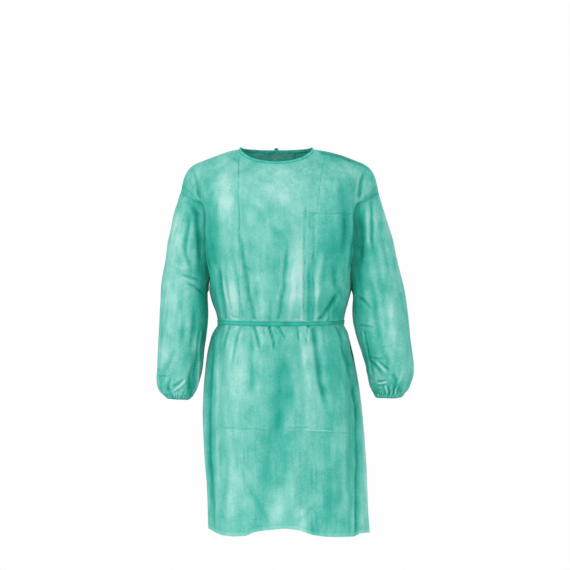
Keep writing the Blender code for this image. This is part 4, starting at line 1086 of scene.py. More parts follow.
class GownClothSettings(bpy.types.PropertyGroup):
    """Sizes and colours of the nonwoven cloth."""

    thick: FloatProperty(
        name="Cloth thickness", description="Thickness of the cloth as it is drawn",
        default=0.5 * MM, min=0.1 * MM, max=1.2 * MM, unit="LENGTH")
    crease: FloatProperty(
        name="Crease depth", description="Depth of the small creases as a share of the placed",
        default=1.0, min=0.0, max=1.6, subtype="FACTOR")
    crumple: FloatProperty(
        name="Crumple", description="Height of the soft uneven swells between the creases",
        default=1.0 * MM, min=0.0, max=2.5 * MM, unit="LENGTH")
    pleats: IntProperty(
        name="Cuff pleats", description="How many small pleats the elastic draws in at a wrist",
        default=38, min=20, max=48)
    # The five greens of the tone ramp; as the tone carries painted light and shade, the palest
    # greens also colour painted light and the deepest ones painted shade.
    palest: FloatVectorProperty(
        name="Palest green", description="Colour where the web is thinnest",
        default=linear("#BEEAE3"), **COLOUR)
    pale: FloatVectorProperty(
        name="Pale green", description="Colour of most of the lighter web",
        default=linear("#8AD8CB"), **COLOUR)
    middle: FloatVectorProperty(
        name="Mint green", description="Colour of the web on average",
        default=linear("#58C3B2"), **COLOUR)
    deep: FloatVectorProperty(
        name="Deep green", description="Colour where the cloth lies double",
        default=linear("#2CB09C"), **COLOUR)
    deepest: FloatVectorProperty(
        name="Deepest green", description="Colour in the tightest folds",
        default=linear("#14907E"), **COLOUR)


class GownTrimSettings(bpy.types.PropertyGroup):
    """Sizes of the belt, the binding, the ties and the sewing."""

    stitch_pitch: FloatProperty(
        name="Stitch pitch", description="Distance from one stitch to the next",
        default=4.0 * MM, min=2.0 * MM, max=8.0 * MM, unit="LENGTH")
    stitch_length: FloatProperty(
        name="Stitch length", description="Length of the thread that shows in one stitch",
        default=2.8 * MM, min=1.0 * MM, max=6.0 * MM, unit="LENGTH")
    thread: FloatProperty(
        name="Thread thickness", description="Thickness of the sewing thread as it is drawn",
        default=0.5 * MM, min=0.2 * MM, max=1.0 * MM, unit="LENGTH")
    belt_sag: FloatProperty(
        name="Belt sag", description="How far the belt hangs lower at the centre front",
        default=2.6 * MM, min=0.0, max=6.0 * MM, unit="LENGTH")
    thread_colour: FloatVectorProperty(
        name="Thread colour", description="Colour of the sewing thread",
        default=linear("#2E9C88"), **COLOUR)


class GownStageSettings(bpy.types.PropertyGroup):
    """The plain studio."""

    key_power: FloatProperty(
        name="Key light", description="Power of the large soft light at the left front",
        default=34.0, min=0.0, max=200.0, unit="POWER")
    fill_power: FloatProperty(
        name="Fill light", description="Power of the soft light at the right front",
        default=9.0, min=0.0, max=200.0, unit="POWER")
    back_power: FloatProperty(
        name="Back light", description="Power of the light behind, which shines through the cloth",
        default=26.0, min=0.0, max=200.0, unit="POWER")
    room: FloatProperty(
        name="Room light", description="Strength of the white room round the gown",
        default=1.0, min=0.0, max=2.0)
    floor_down: FloatProperty(
        name="Floor", description="How far the floor lies under the shoulders",
        default=FLOOR_DOWN_M, min=1.1, max=2.0, unit="LENGTH")
    paper_colour: FloatVectorProperty(
        name="Floor colour", description="Colour of the floor",
        default=linear("#FCFCFC"), **COLOUR)


def looks():
    """The materials, made once and then shared."""
    cloth, trim = bpy.context.scene.gown_cloth, bpy.context.scene.gown_trim
    colours = [tuple(c) for c in (cloth.deepest, cloth.deep, cloth.middle, cloth.pale,
                                  cloth.palest)]
    made = bpy.data.materials
    return {
        "cloth": made.get("spunbond_nonwoven") or nonwoven_look(
            "spunbond_nonwoven", colours, 1.0, False),
        "folded": made.get("folded_spunbond_nonwoven") or nonwoven_look(
            "folded_spunbond_nonwoven", colours, 0.45, True),
        "thread": made.get("spun_polyester_thread") or thread_look(tuple(trim.thread_colour)),
    }


def fine_rows(count):
    """Rows from the hem up, closer together round the waist and over the shoulders."""
    down = HEM_ROW + (RIDGE_ROW - HEM_ROW) * np.linspace(0.0, 1.0, 2001)
    weight = (1.0 + 0.9 * np.exp(-((down - BELT_DOWN) / 16.0) ** 2)
              + 1.6 * smooth(176.0, 158.0, down))
    run = np.concatenate([[0.0], np.cumsum((weight[1:] + weight[:-1]) / 2.0)])
    return np.interp(np.linspace(0.0, run[-1], count), run, down)


def waist_ripples(across, down, seed):
    """Fine upright ripples that the belt gathers, above and below it."""
    rng = np.random.default_rng(seed)
    total = np.zeros(across.shape)
    for x in np.arange(*RIPPLES):
        middle = x + rng.uniform(-1.6, 1.6)
        half = rng.uniform(1.4, 2.8)
        lean = rng.uniform(-0.12, 0.12)
        for reach, sign in ((rng.uniform(6.0, 24.0), -1.0), (rng.uniform(6.0, 26.0), 1.0)):
            away = (across - middle - lean * (down - BELT_DOWN)) / half
            beyond = np.clip(sign * (down - BELT_DOWN), 0.0, None)
            total += (rng.uniform(0.4, 1.0) * np.exp(-away * away)
                      * smooth(0.0, 5.0, beyond) * np.exp(-beyond / reach))
    return total * RIPPLE_HEIGHT


def rested(grid, across, down, cloth, creases, clouds, seed, strength=1.0):
    """Add creases, ripples and swells to a panel and find its tone."""
    depth, crease_shading = creases_at(across + 0.35 * swell(grid, 0.05, seed + 5), down, creases)
    depth, crease_shading = depth * strength, crease_shading * strength
    ripple = waist_ripples(across, down, seed + 1)
    free = 1.0 - 0.8 * np.exp(-((down - BELT_DOWN) / 9.0) ** 2)
    broad = swell(grid, 0.11, seed + 2, (0.8, 0.8, 1.7)) * cloth.crumple * 1.5
    small = swell(grid, 0.034, seed + 3, (0.6, 0.6, 4.5)) * cloth.crumple * 0.75
    move = (broad + small) * free - depth * cloth.crease - ripple
    # the tone: painted light and shade from the clouds, painted shade in the creases and in the
    # hollows of the belt's ripples, and the web's random patches
    tone = (PANEL_TONE + light_and_shade_at(across, down, clouds) - crease_shading
            + 0.04 * swell(grid, 0.05, seed + 6, (0.8, 0.8, 1.4))
            + 0.032 * swell(grid, 0.022, seed + 9, (0.6, 0.6, 4.0)) - ripple / MM * 0.075)
    return move, tone


def seamed(tone, stations, rows, band_rows):
    """Deepen a panel where its seam allowances and the folded shoulder lie double, and paint shade
    in a band along the shoulder ridge on the wearer's left.
    """
    to_seam = SEAM - np.abs(stations)
    tone = tone - (0.12 * smooth(0.50, 0.40, to_seam)
                   + 0.10 * np.exp(-((to_seam - 0.42) / 0.05) ** 2))[None, :]
    # painted shade: a deeper band along the shoulder ridge, on the wearer's left only
    on_ridge = smooth(2.0, 2.2, stations) * (1.0 - smooth(4.0, 5.6, stations))
    tone = tone - 0.36 * (1.0 - smooth(*band_rows, rows))[:, None] * on_ridge[None, :]
    return tone - (0.16 * (1.0 - smooth(154.4, 156.0, rows))[:, None]
                   * smooth(2.1, 2.5, np.abs(stations))[None, :])


def belted(grid, down):
    """Draw the cloth in evenly under the belt."""
    centre = np.array([(BODY_ACROSS - ORIGIN_ACROSS) * STEP_M, 0.0, 0.0])
    pull = BELT_PINCH * np.exp(-((down - BELT_DOWN) / BELT_PINCH_REACH) ** 2)
    return grid + unit((centre - grid) * LEVEL) * pull[..., None]


def hem_shift(points):
    """How far points of the lowest row hang under or over the hem line that is seen."""
    across, down = seen_from_front(points)
    line = np.array(HEM_LINE)
    near = (EYE_M + points[..., 1]) / EYE_M
    return (np.interp(across, line[:, 0], line[:, 1]) - down) * near * STEP_M


def moved(grid, normal, move, rows, from_seam):
    """Move a panel's cloth, but not right under the binding nor at its seams."""
    free = smooth(RIDGE_ROW, RIDGE_ROW + 9.0, rows)[:, None] * smooth(0.0, 0.5, from_seam)
    return grid + normal * (move * free)[..., None]


class GownPiece:
    """What the operators of all pieces share."""

    bl_options = {"REGISTER", "UNDO"}


class GOWN_OT_front_panel(GownPiece, bpy.types.Operator):
    """Build the front panel, from the neck to the hem and from side seam to side seam"""

    bl_idname = "gown.front_panel"
    bl_label = "Front panel"

    def execute(self, context):
        cloth = context.scene.gown_cloth
        rows = fine_rows(FRONT_ROWS)
        stations = np.linspace(-SEAM, SEAM, FRONT_COLUMNS)
        grid, normal = body_grid(stations, rows, False)
        across, down = seen_from_front(grid)
        move, tone = rested(grid, across, down, cloth, CREASES_FRONT + CREASES_ARMPIT,
                            PAINTED_LIGHT_AND_SHADE_FRONT, 11)
        grid = moved(grid, normal, move, rows, SEAM - np.abs(stations))
        grid[..., 2] -= smooth(HEM_FADE_ROW, HEM_ROW, rows)[:, None] * hem_shift(grid[0])
        grid = belted(grid, down)
        # the raw edge of the hem lets more light through
        tone = tone + (0.09 * smooth(528.6, 530.4, rows)
                       - 0.04 * band(rows, 527.6, 530.0))[:, None]
        tone = seamed(tone, stations, rows, (161.5, 165.0))
        piece = cloth_shell("front_cloth", grid, tone, cloth.thick, looks()["cloth"], normal,
                            replaced=("front_panel",), slot="nonwoven")
        return {"FINISHED"}


class GOWN_OT_back_panels(GownPiece, bpy.types.Operator):
    """Build the two halves of the back, which lap each other"""

    bl_idname = "gown.back_panels"
    bl_label = "Back panels"

    def execute(self, context):
        cloth = context.scene.gown_cloth
        rows = fine_rows(BACK_ROWS)
        base = np.linspace(-SEAM, LAP_STATION, BACK_COLUMNS)
        for name, side, over in (("right", -1.0, False), ("left", 1.0, True)):
            grid, normal = back_grid(side, over, rows, base)
            across, down = seen_from_front(grid)
            move, tone = rested(grid, across, down, cloth, CREASES_BACK, PAINTED_LIGHT_AND_SHADE_BACK, 31, 1.35)
            lap = smooth(-2.2, -1.0, base)
            grid = moved(grid, normal, move * (1.0 - lap * 0.35), rows, base + SEAM)
            from_seam = 1.0 - smooth(0.0, 3.5, base + SEAM)
            grid[..., 2] -= (smooth(HEM_FADE_ROW, HEM_ROW, rows)[:, None]
                             * (hem_shift(grid[0, :1]) * from_seam))
            grid = belted(grid, down)
            tone = seamed(tone, -side * base * smooth(0.0, -0.1, base), rows, (154.0, 163.0))
            free_edge = smooth(0.25, 0.0, LAP_STATION - base)
            tone = tone - (0.10 if over else 0.04) * lap - 0.08 * free_edge
            piece = cloth_shell("back_cloth_" + name, grid, tone, cloth.thick, looks()["cloth"],
                                normal, replaced=("back_panel_" + name,), slot="nonwoven")
        return {"FINISHED"}


def sleeve_grid(arm, thick):
    """Fine grid of a sleeve with its turn round the arm and the rings that it runs through."""
    rows = np.linspace(RIDGE_ROW, UNDERARM_ROW, SLEEVE_COLUMNS // 2 + 1)
    rings, angle = sleeve_rings(arm.side, arm.sections, rows, thick)
    even = np.linspace(0.0, 1.0, SLEEVE_ROWS)
    wanted = (len(rings) - 1.0) * (even * 0.55 + 0.45 * (1.0 - (1.0 - even) ** 2.0))
    return curve(np.arange(len(rings), dtype=float), rings, wanted), angle, rings


def wrist_pleats(angle, beyond, seed, count):
    """Uneven small pleats that fan out from the elastic; beyond is the distance up the sleeve."""
    rng = np.random.default_rng(seed)
    widths = rng.uniform(0.6, 1.5, count)
    places = np.cumsum(widths) / widths.sum() * TURN
    total = np.zeros(np.broadcast_shapes(angle.shape, beyond.shape))
    for spot, width in zip(places, widths):
        half = width / widths.sum() * math.pi * 0.62
        lean = rng.uniform(-0.005, 0.005) / MM
        away = (angle - spot - lean * beyond + math.pi) % (TURN) - math.pi
        length = rng.choice([11.0, 18.0, 28.0, 42.0], p=[0.3, 0.35, 0.25, 0.1]) * MM
        widen = 1.0 + beyond / (30.0 * MM)
        total += rng.uniform(0.45, 1.0) * np.exp(-(away / (half * widen)) ** 2) * np.exp(
            -(beyond / length) ** 1.3)
    return total


class GOWN_OT_sleeves(GownPiece, bpy.types.Operator):
    """Build both sleeves, from the dropped armholes to the wrists"""

    bl_idname = "gown.sleeves"
    bl_label = "Sleeves"

    def execute(self, context):
        cloth = context.scene.gown_cloth
        for arm in ARMS:
            grid, angle, _ = sleeve_grid(arm, cloth.thick)
            normal = normals_of(grid, closed=True) * arm.side
            across, down = seen_from_front(grid)
            facing = smooth(-0.3, 0.3, np.sin(angle))[None, :]
            wobble = across + 0.35 * swell(grid, 0.05, arm.seed + 5)
            # the half that faces back has the same creases, a little further out and higher
            depth, crease_shading = (front * facing + rear * (1.0 - facing) for front, rear in zip(
                creases_at(wobble, down, arm.creases),
                creases_at(wobble + 3.0, down - 7.0, arm.creases)))
            broad = swell(grid, 0.085, arm.seed + 2, (0.8, 0.8, 1.5)) * cloth.crumple * 1.6
            small = swell(grid, 0.036, arm.seed + 3, (0.8, 0.8, 1.6)) * cloth.crumple * 0.5
            steps = steps_of(grid)
            none = np.zeros((1, grid.shape[1]))
            to_wrist = np.concatenate([np.cumsum(steps[::-1], axis=0)[::-1], none])
            from_seam = np.concatenate([none, np.cumsum(steps, axis=0)])
            pleats = wrist_pleats(angle[None, :], to_wrist, arm.seed + 7, cloth.pleats)
            ticked = ticks_at(across, down, arm.ticks) * facing
            puckers = np.abs(swell(grid, 0.012, arm.seed + 8, (1.0, 1.0, 3.0))) * np.exp(
                -from_seam / (7.0 * MM))
            free = smooth(0.0, 12.0 * MM, from_seam) * smooth(0.0, 10.0 * MM, to_wrist)
            puffed = 0.8 * MM * np.exp(-((to_wrist - 18.0 * MM) / (12.0 * MM)) ** 2)
            move = ((broad + small) * free - depth * cloth.crease * free
                    - pleats * PLEAT_DEPTH + puffed - ticked * 0.7 * MM - puckers * 0.5 * MM
                    * smooth(0.0, 2.0 * MM, from_seam))
            grid = grid + normal * move[..., None]
            seam = np.exp(-(from_seam / (2.2 * MM)) ** 2)
            # the sleeve lay flat in its bag, so its outer edge is pressed; along it goes a band of
            # painted shade where the sleeve turns away at its outline
            bend = np.minimum(angle, TURN - angle)[None, :]
            allowance = band(from_seam, 1.0 * MM, 9.0 * MM)
            # the tone: painted light and shade from the clouds, strongest on the half that faces
            # forward; painted shade in the creases, in the hollows of the wrist's pleats (paler on
            # their crests) and in the puckers
            tone = (SLEEVE_TONE + light_and_shade_at(across, down, arm.clouds) * (0.35 + 0.65 * facing)
                    - crease_shading + 0.04 * swell(grid, 0.05, arm.seed + 6)
                    + 0.055 * swell(grid, 0.022, arm.seed + 9, (0.7, 0.7, 4.0))
                    - 0.72 * (pleats - 0.22) * np.exp(-to_wrist / (26.0 * MM)) - 0.30 * seam
                    - 0.08 * allowance - 0.20 * ticked
                    + 0.10 * swell(grid, 0.013, arm.seed + 10) * np.exp(-to_wrist / (30.0 * MM))
                    - 0.16 * np.exp(-(bend / 0.07) ** 2))
            # the seam allowance is turned in, so that no light comes through the seam
            back_up = unit(grid[0] - grid[2])
            turned = [grid[0] - normal[0] * drop + back_up * run for drop, run in ALLOWANCE_TURN]
            piece = cloth_shell("sleeve_cloth_" + arm.name, np.concatenate([turned, grid]),
                                np.concatenate([tone[:1], tone[:1], tone]), cloth.thick,
                                looks()["cloth"],
                                np.concatenate([normal[:1], normal[:1], normal]), closed=True,
                                replaced=("sleeve_" + arm.name,), slot="nonwoven")
        return {"FINISHED"}


class GOWN_OT_cuffs(GownPiece, bpy.types.Operator):
    """Build the narrow casings at the wrists, gathered on their elastics"""

    bl_idname = "gown.cuffs"
    bl_label = "Cuffs"

    def execute(self, context):
        cloth = context.scene.gown_cloth
        for arm in ARMS:
            _, angle, rings = sleeve_grid(arm, cloth.thick)
            fall = unit(rings[-1].mean(axis=0) - rings[-3].mean(axis=0))
            base = rings[-1]
            away = unit(base - base.mean(axis=0))
            pleats = wrist_pleats(angle[None, :], np.zeros((1, 1)), arm.seed + 7, cloth.pleats)[0]
            rng = np.random.default_rng(arm.seed + 9)
            sway = sum(np.sin(angle * n + rng.uniform(0.0, 6.3)) for n in (2, 3, 5)) / 3.0
            levels = np.linspace(0.0, 1.0, CUFF_LEVELS)
            layers = []
            for level in levels:
                tuck = 1.4 * MM * math.sin(math.pi * level) - arm.drawn_in * level
                flare = 0.5 * MM * max(0.0, (level - 0.72) / 0.28) ** 1.5
                depth = pleats * (2.6 + 0.5 * math.cos(level * 6.0)) * MM
                rise = (-0.6 * MM + level * (CUFF_DROP + 1.0 * MM) + 1.0 * MM * sway * level
                        + 1.2 * MM * (pleats - 0.5) * level)
                layers.append(base + away * (tuck + flare - depth)[:, None]
                              + fall * rise[:, None])
            grid, level = np.array(layers), levels[:, None]
            # painted shade in the hollows of the pleats, paler on their crests; darker towards the
            # lower edge
            tone = (CUFF_TONE - 0.62 * (pleats[None, :] - 0.35) * (1.0 - 0.5 * level)
                    - 0.06 * np.exp(-((level - 0.12) / 0.07) ** 2)
                    - 0.44 * smooth(0.50, 0.92, level) + 0.10 * swell(grid, 0.014, arm.seed + 4))
            piece = cloth_shell("cuff_gathers_" + arm.name, grid, tone, CUFF_WALL,
                                looks()["cloth"], away[None], closed=True,
                                replaced=("cuff_" + arm.name,), slot="nonwoven_folded")
        return {"FINISHED"}


def neck_lines():
    """Lower and upper edge of the neck's strip with its way out, from the centre back."""
    stations = np.linspace(-NECK, NECK, 401)
    half = len(stations) // 2

    def loop(row):
        front, back = row(stations, False), row(stations, True)
        return np.concatenate([back[:half][::-1], front, back[half + 1:][::-1]])

    low = loop(top_row)
    lift = unit(low - loop(fall_row))
    lift[:, 2] = np.maximum(lift[:, 2], BINDING_LEAST_RISE)
    for _ in range(BINDING_EVENINGS):
        lift[1:-1] = (lift[:-2] + lift[1:-1] * 2.0 + lift[2:]) / 4.0
    lift = unit(lift)
    low = low + lift * BINDING_GAP
    gap = KNOT_WIDTH / 2.0 * NECK_KNOT_SHARE * 0.6
    middle_x = (low[0, 0] + low[-1, 0]) / 2.0
    keep = (low[:, 1] < 0.0) | (np.abs(low[:, 0] - middle_x) > gap)
    low, lift = low[keep], lift[keep]
    high = evened(low + lift * BINDING_HEIGHT, BINDING_POINTS)
    low = evened(low, BINDING_POINTS)
    out = unit(np.cross(np.gradient(low, axis=0), high - low))
    return low, high, turned_to((low - low.mean(axis=0)) * LEVEL, out)


class GOWN_OT_neck_binding(GownPiece, bpy.types.Operator):
    """Build the folded strip that finishes the neckline, with its row of stitches"""

    bl_idname = "gown.neck_binding"
    bl_label = "Neck binding"

    def execute(self, context):
        low, high, out = neck_lines()
        up = unit(high - low)
        ripple = swell(low, 0.011, 121)
        low = low - up * (3.4 * MM + 0.25 * MM * swell(low, 0.02, 122)[:, None])
        high = high + up * (0.25 * MM * swell(high, 0.03, 123))[:, None]
        thick = BINDING_WALL * (1.0 + 0.10 * ripple)
        tone = BINDING_TONE + 0.06 * ripple + 0.05 * swell(low, 0.03, 124)
        piece = strip("neck_strip", low, high, out, thick, tone, groove=0.12, edge=0.14,
                      sides=16, replaced=("neck_binding",))
        sew("neck_stitches", low + up * 2.2 * MM + out * BINDING_WALL * 0.5, out)
        return {"FINISHED"}


def knot_band(name, centre, share, replaced):
    """A pulled tight knot: one folded strip wound over and through itself."""
    turn = np.linspace(0.0, TURN, 121)[:-1]
    size = np.array([KNOT_WIDTH, KNOT_THICK, KNOT_HEIGHT]) * share
    path = np.stack([(np.sin(turn) + 2.0 * np.sin(2.0 * turn)) / 3.0,
                     -np.sin(3.0 * turn),
                     (np.cos(turn) - 2.0 * np.cos(2.0 * turn)) / 3.0], axis=1)
    path = centre + path * size * np.array([0.36, 0.24, 0.33])
    way = unit(np.roll(path, -1, axis=0) - np.roll(path, 1, axis=0))
    away = path - centre
    away = away - way * (away * way).sum(axis=1, keepdims=True)
    away[:, 1] += 0.35 * KNOT_THICK
    away = unit(away - way * (away * way).sum(axis=1, keepdims=True))
    half = KNOT_WIDTH * 0.20 * share * (1.0 + 0.12 * np.sin(turn * 4.0 + 1.0))
    side = np.cross(way, away) * half[:, None]
    piece = strip(name, path - side, path + side, away, 3.6 * MM * share, KNOT_TONE,
                  groove=0.35, closed=True, replaced=(replaced,))


def tie_lines(knot_centre, knot_share, side, length, width, spread):
    """Edges of a free end that hangs down the back from its knot, pinched under the knot."""
    top = knot_centre[2] - KNOT_HEIGHT / 2.0 * knot_share + 2.0 * MM
    start_down = ORIGIN_DOWN - top / STEP_M
    rows = np.linspace(start_down, start_down + length / STEP_M, TIE_POINTS)
    surface, _ = body_grid(np.linspace(-3.0, 3.0, 61), rows, True)
    share = np.arange(TIE_POINTS) / (TIE_POINTS - 1.0)
    half = width / 2.0 * (0.42 + 0.58 * smooth(0.0, 0.15, share))
    x = knot_centre[0] + side * (half + spread * share + TIE_SWAY * np.sin(share * 5.0) * share)
    y, z = (np.array([np.interp(x[i], surface[i, :, 0], surface[i, :, k])
                      for i in range(TIE_POINTS)]) for k in (1, 2))
    y += LAP_OUT + TIE_CLEAR
    y += (knot_centre[1] - y[0]) * np.exp(-share * 6.0)
    line = np.stack([x, y, z + (top - z[0])], axis=1)
    twist = side * (0.30 * np.sin(share * 7.0 + side) + 0.18 * np.sin(share * 17.0)) * smooth(
        0.05, 0.3, share)
    across = np.stack([np.cos(twist), np.sin(twist), np.zeros(TIE_POINTS)], axis=1)
    shift = across * half[:, None]
    face = unit(np.cross(across, np.gradient(line, axis=0)))
    return line - shift, line + shift, face * np.sign(face[:, 1:2])


def tied(kind, centre, share, width, ends):
    """A knot and its free ends, the wearer's right one first: their length and how far they
    swing out."""
    knot = kind + "_knot_wrap"
    knot_band(knot, centre, share, kind + "_knot")
    for arm, (length, spread) in zip(ARMS, ends):
        low, high, face = tie_lines(centre, share, arm.side, length, width, spread)
        middle = (low + high) / 2.0
        thick = TIE_WALL * (1.0 + 0.10 * swell(middle, 0.012, 131))
        tone = TIE_TONE + 0.08 * swell(middle, 0.03, 132)
        piece = strip(kind + "_end_" + arm.name, low, high, face, thick, tone, groove=0.30,
                      replaced=(kind + "_tie_" + arm.name,))


class GOWN_OT_neck_ties(GownPiece, bpy.types.Operator):
    """Build the knot at the nape and the free ends of the neck's strip"""

    bl_idname = "gown.neck_ties"
    bl_label = "Neck ties"

    def execute(self, context):
        low, high, _ = neck_lines()
        centre = (low[0] + low[-1] + high[0] + high[-1]) / 4.0 + np.array(
            [0.0, KNOT_THICK * NECK_KNOT_SHARE * 0.5 + LAP_OUT, NECK_KNOT_LIFT])
        tied("neck", centre, NECK_KNOT_SHARE, NECK_TIE_WIDTH,
             ((NECK_TIE_LENGTH, 15.0 * MM), (NECK_TIE_LENGTH * 0.9, 11.0 * MM)))
        return {"FINISHED"}


def belt_edge():
    """The belt's middle line round the waist, from the centre back, and its way out."""
    rows = np.array([BELT_DOWN - 2.0, BELT_DOWN, BELT_DOWN + 2.0])
    half = np.linspace(0.0, SEAM, 281)
    parts = []
    for back, stations in ((True, -half), (False, np.linspace(-SEAM, SEAM, 561)[1:-1]),
                           (True, half[::-1])):
        order = np.argsort(stations)
        grid, normal = body_grid(stations[order], rows, back)
        line = grid[1] + normal[1] * BELT_LIFT
        if back:
            raised = smooth(*BELT_RISE_RIGHT, stations[order]) * (
                1.0 - smooth(*BELT_RISE_LEFT, stations[order]))
            line += normal[1] * (raised * LAP_OUT)[:, None]
        parts.append(line[np.argsort(order)])
    line = evened(np.concatenate(parts), 900)
    middle_x = (line[0, 0] + line[-1, 0]) / 2.0
    keep = (line[:, 1] < 0.0) | (np.abs(line[:, 0] - middle_x) > KNOT_WIDTH * 0.3)
    line = evened(line[keep], BELT_POINTS)
    line = belted(line, np.full(len(line), BELT_DOWN))
    return line, across_of(line)


class GOWN_OT_belt(GownPiece, bpy.types.Operator):
    """Build the narrow folded belt round the waist, with the stitches that close it"""

    bl_idname = "gown.belt"
    bl_label = "Belt"

    def execute(self, context):
        trim = context.scene.gown_trim
        line, out = belt_edge()
        across, _ = seen_from_front(line)
        front = smooth(0.0, -0.06, line[:, 1])
        sag = trim.belt_sag * np.clip(1.0 - ((across - 290.0) / 66.0) ** 2, 0.0, 1.0) * front
        rise = 1.6 * MM * smooth(322.0, 345.0, across) * front
        line = line + UP * (rise - sag)[:, None]
        line = line + out * (0.35 * MM * swell(line, 0.05, 141))[:, None]
        narrow = 0.94 - 0.24 * smooth(306.0, 340.0, across) * front - 0.12 * np.exp(
            -((across - 308.5) / 2.5) ** 2) * front
        half = BELT_HEIGHT / 2.0 * narrow * (1.0 + 0.03 * swell(line, 0.025, 142))
        lean = 0.06 * swell(line, 0.07, 143)
        up = unit(UP + out * lean[:, None])
        thick = BELT_WALL * (1.0 + 0.10 * swell(line, 0.010, 144))
        # painted shade on the front of the belt towards the wearer's left
        tone = (BELT_TONE + 0.06 * swell(line, 0.03, 145)
                - 0.12 * smooth(318.0, 346.0, across) * front)
        piece = strip("belt_strip", line - up * half[:, None], line + up * half[:, None], out,
                      thick, tone, groove=0.15, edge=0.12, sides=16, replaced=("belt",))
        sew("belt_stitches", line - up * (half - 2.0 * MM)[:, None] + out * BELT_WALL * 0.46, out)
        # the bar tack that holds the belt to the front
        spot = np.argmin(np.abs(across - TACK_ACROSS) + 1e3 * (line[:, 1] > 0.0))
        low = line[spot] - up[spot] * (half[spot] + 1.6 * MM) + out[spot] * BELT_WALL * 0.4
        turns = np.array([low + np.array([x, 0.0, z]) * MM for x, z in TACK_TURNS])
        stitches("belt_tack", turns, np.repeat(out[spot][None], len(turns), axis=0),
                 2.0 * MM, 1.9 * MM, trim.thread * 1.5, looks()["folded"])
        return {"FINISHED"}


class GOWN_OT_belt_ties(GownPiece, bpy.types.Operator):
    """Build the belt's knot at the centre back and its free ends"""

    bl_idname = "gown.belt_ties"
    bl_label = "Belt ties"

    def execute(self, context):
        line, _ = belt_edge()
        centre = (line[0] + line[-1]) / 2.0
        centre[1] = max(line[0, 1], line[-1, 1]) + KNOT_THICK * 0.5 - BELT_WALL * 0.4
        tied("belt", centre, 1.0, BELT_HEIGHT,
             ((BELT_TIE_LENGTH, 26.0 * MM), (BELT_TIE_LENGTH * 0.94, 17.0 * MM)))
        return {"FINISHED"}


class GOWN_OT_seams(GownPiece, bpy.types.Operator):
    """Sew the armholes and the side seams with rows of stitches"""

    bl_idname = "gown.seams"
    bl_label = "Seams"

    def execute(self, context):
        thick = context.scene.gown_cloth.thick
        for arm in ARMS:
            grid, _, _ = sleeve_grid(arm, thick)
            normal = normals_of(grid, closed=True)[2] * arm.side
            row = grid[2] + normal * thick * 0.5
            sew("armhole_stitches_" + arm.name, np.concatenate([row, row[:1]]),
                np.concatenate([normal, normal[:1]]))
            rows = np.linspace(UNDERARM_ROW + 3.0, HEM_ROW - 4.0, 400)
            edge, out = body_grid(np.array([6.86, 6.9, 6.94]) * arm.side, rows, False)
            edge = belted(edge, np.broadcast_to(rows[:, None], edge.shape[:2]))
            sew("side_stitches_" + arm.name, edge[:, 1] + out[:, 1] * thick * 0.6, out[:, 1])
        return {"FINISHED"}


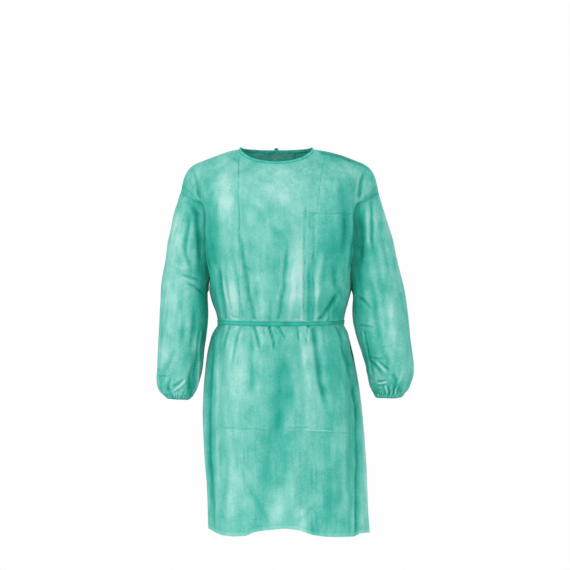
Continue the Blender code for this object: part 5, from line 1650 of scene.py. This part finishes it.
class GOWN_OT_stage(GownPiece, bpy.types.Operator):
    """Set up the pale floor, the soft studio light and the camera"""

    bl_idname = "gown.stage"
    bl_label = "Stage"

    def execute(self, context):
        stage, scene = context.scene.gown_stage, context.scene
        turn = np.linspace(0.0, TURN, FLOOR_SIDES, endpoint=False)
        points = np.stack([FLOOR_RADIUS_M * np.cos(turn), FLOOR_RADIUS_M * np.sin(turn),
                           np.full(FLOOR_SIDES, -stage.floor_down)], axis=1)
        mesh = bpy.data.meshes.new("studio_floor")
        mesh.from_pydata(points.tolist(), [], [tuple(range(FLOOR_SIDES))])
        mesh.materials.append(floor_look(tuple(stage.paper_colour)))
        mesh.update()
        new_object("studio_floor", mesh)
        aim = Vector((0.0, 0.0, -0.5))
        for name, place_at, size, power in (
                ("key_light", (-1.9, -2.6, 0.9), 1.8, stage.key_power),
                ("fill_light", (2.2, -2.4, -0.2), 2.0, stage.fill_power),
                ("back_light", (0.6, 2.6, 0.6), 2.0, stage.back_power)):
            light = bpy.data.lights.new(name, "AREA")
            light.size, light.energy = size, power
            lamp = new_object(name, light)
            lamp.location = place_at
            lamp.rotation_euler = (aim - lamp.location).to_track_quat("-Z", "Y").to_euler()
        world = bpy.data.worlds.new("white_room")
        world.use_nodes = True
        sky = world.node_tree.nodes["Background"]
        sky.inputs["Color"].default_value = (*linear("#FEFEFF"), 1.0)
        sky.inputs["Strength"].default_value = stage.room
        scene.world = world
        scene.view_settings.view_transform = "Standard"
        lens = bpy.data.cameras.new("camera")
        lens.sensor_width = 36.0
        lens.lens = 36.0 * EYE_M / VIEW_M
        camera = new_object("camera", lens)
        camera.location = ((EYE_DOWN - ORIGIN_ACROSS) * STEP_M, -EYE_M, EYE_Z)
        camera.rotation_euler = (math.pi / 2.0, 0.0, 0.0)
        scene.camera = camera
        return {"FINISHED"}


class GOWN_PT_panel(bpy.types.Panel):
    """Sizes, colours and pieces of the gown"""

    bl_label = "Disposable gown"
    bl_idname = "GOWN_PT_panel"
    bl_space_type = "VIEW_3D"
    bl_region_type = "UI"
    bl_category = "Gown"

    def draw(self, context):
        for title, group in (("Cloth", context.scene.gown_cloth),
                             ("Trim and sewing", context.scene.gown_trim),
                             ("Stage", context.scene.gown_stage)):
            box = self.layout.box()
            box.label(text=title)
            for key in group.__annotations__:
                box.prop(group, key)
        column = self.layout.column(align=True)
        for operator in PIECES:
            column.operator(operator.bl_idname)


SETTINGS = (GownClothSettings, GownTrimSettings, GownStageSettings)
PIECES = (GOWN_OT_front_panel, GOWN_OT_back_panels, GOWN_OT_sleeves, GOWN_OT_cuffs,
          GOWN_OT_neck_binding, GOWN_OT_neck_ties, GOWN_OT_belt, GOWN_OT_belt_ties,
          GOWN_OT_seams, GOWN_OT_stage)


def register():
    for kind in (*SETTINGS, *PIECES, GOWN_PT_panel):
        bpy.utils.register_class(kind)
    bpy.types.Scene.gown_cloth = PointerProperty(type=GownClothSettings)
    bpy.types.Scene.gown_trim = PointerProperty(type=GownTrimSettings)
    bpy.types.Scene.gown_stage = PointerProperty(type=GownStageSettings)


def unregister():
    del bpy.types.Scene.gown_stage
    del bpy.types.Scene.gown_trim
    del bpy.types.Scene.gown_cloth
    for kind in reversed((*SETTINGS, *PIECES, GOWN_PT_panel)):
        bpy.utils.unregister_class(kind)


def main():
    register()
    bpy.ops.gown.front_panel()
    bpy.ops.gown.back_panels()
    bpy.ops.gown.sleeves()
    bpy.ops.gown.cuffs()
    bpy.ops.gown.neck_binding()
    bpy.ops.gown.neck_ties()
    bpy.ops.gown.belt()
    bpy.ops.gown.belt_ties()
    bpy.ops.gown.seams()
    bpy.ops.gown.stage()


if __name__ == "__main__":
    main()
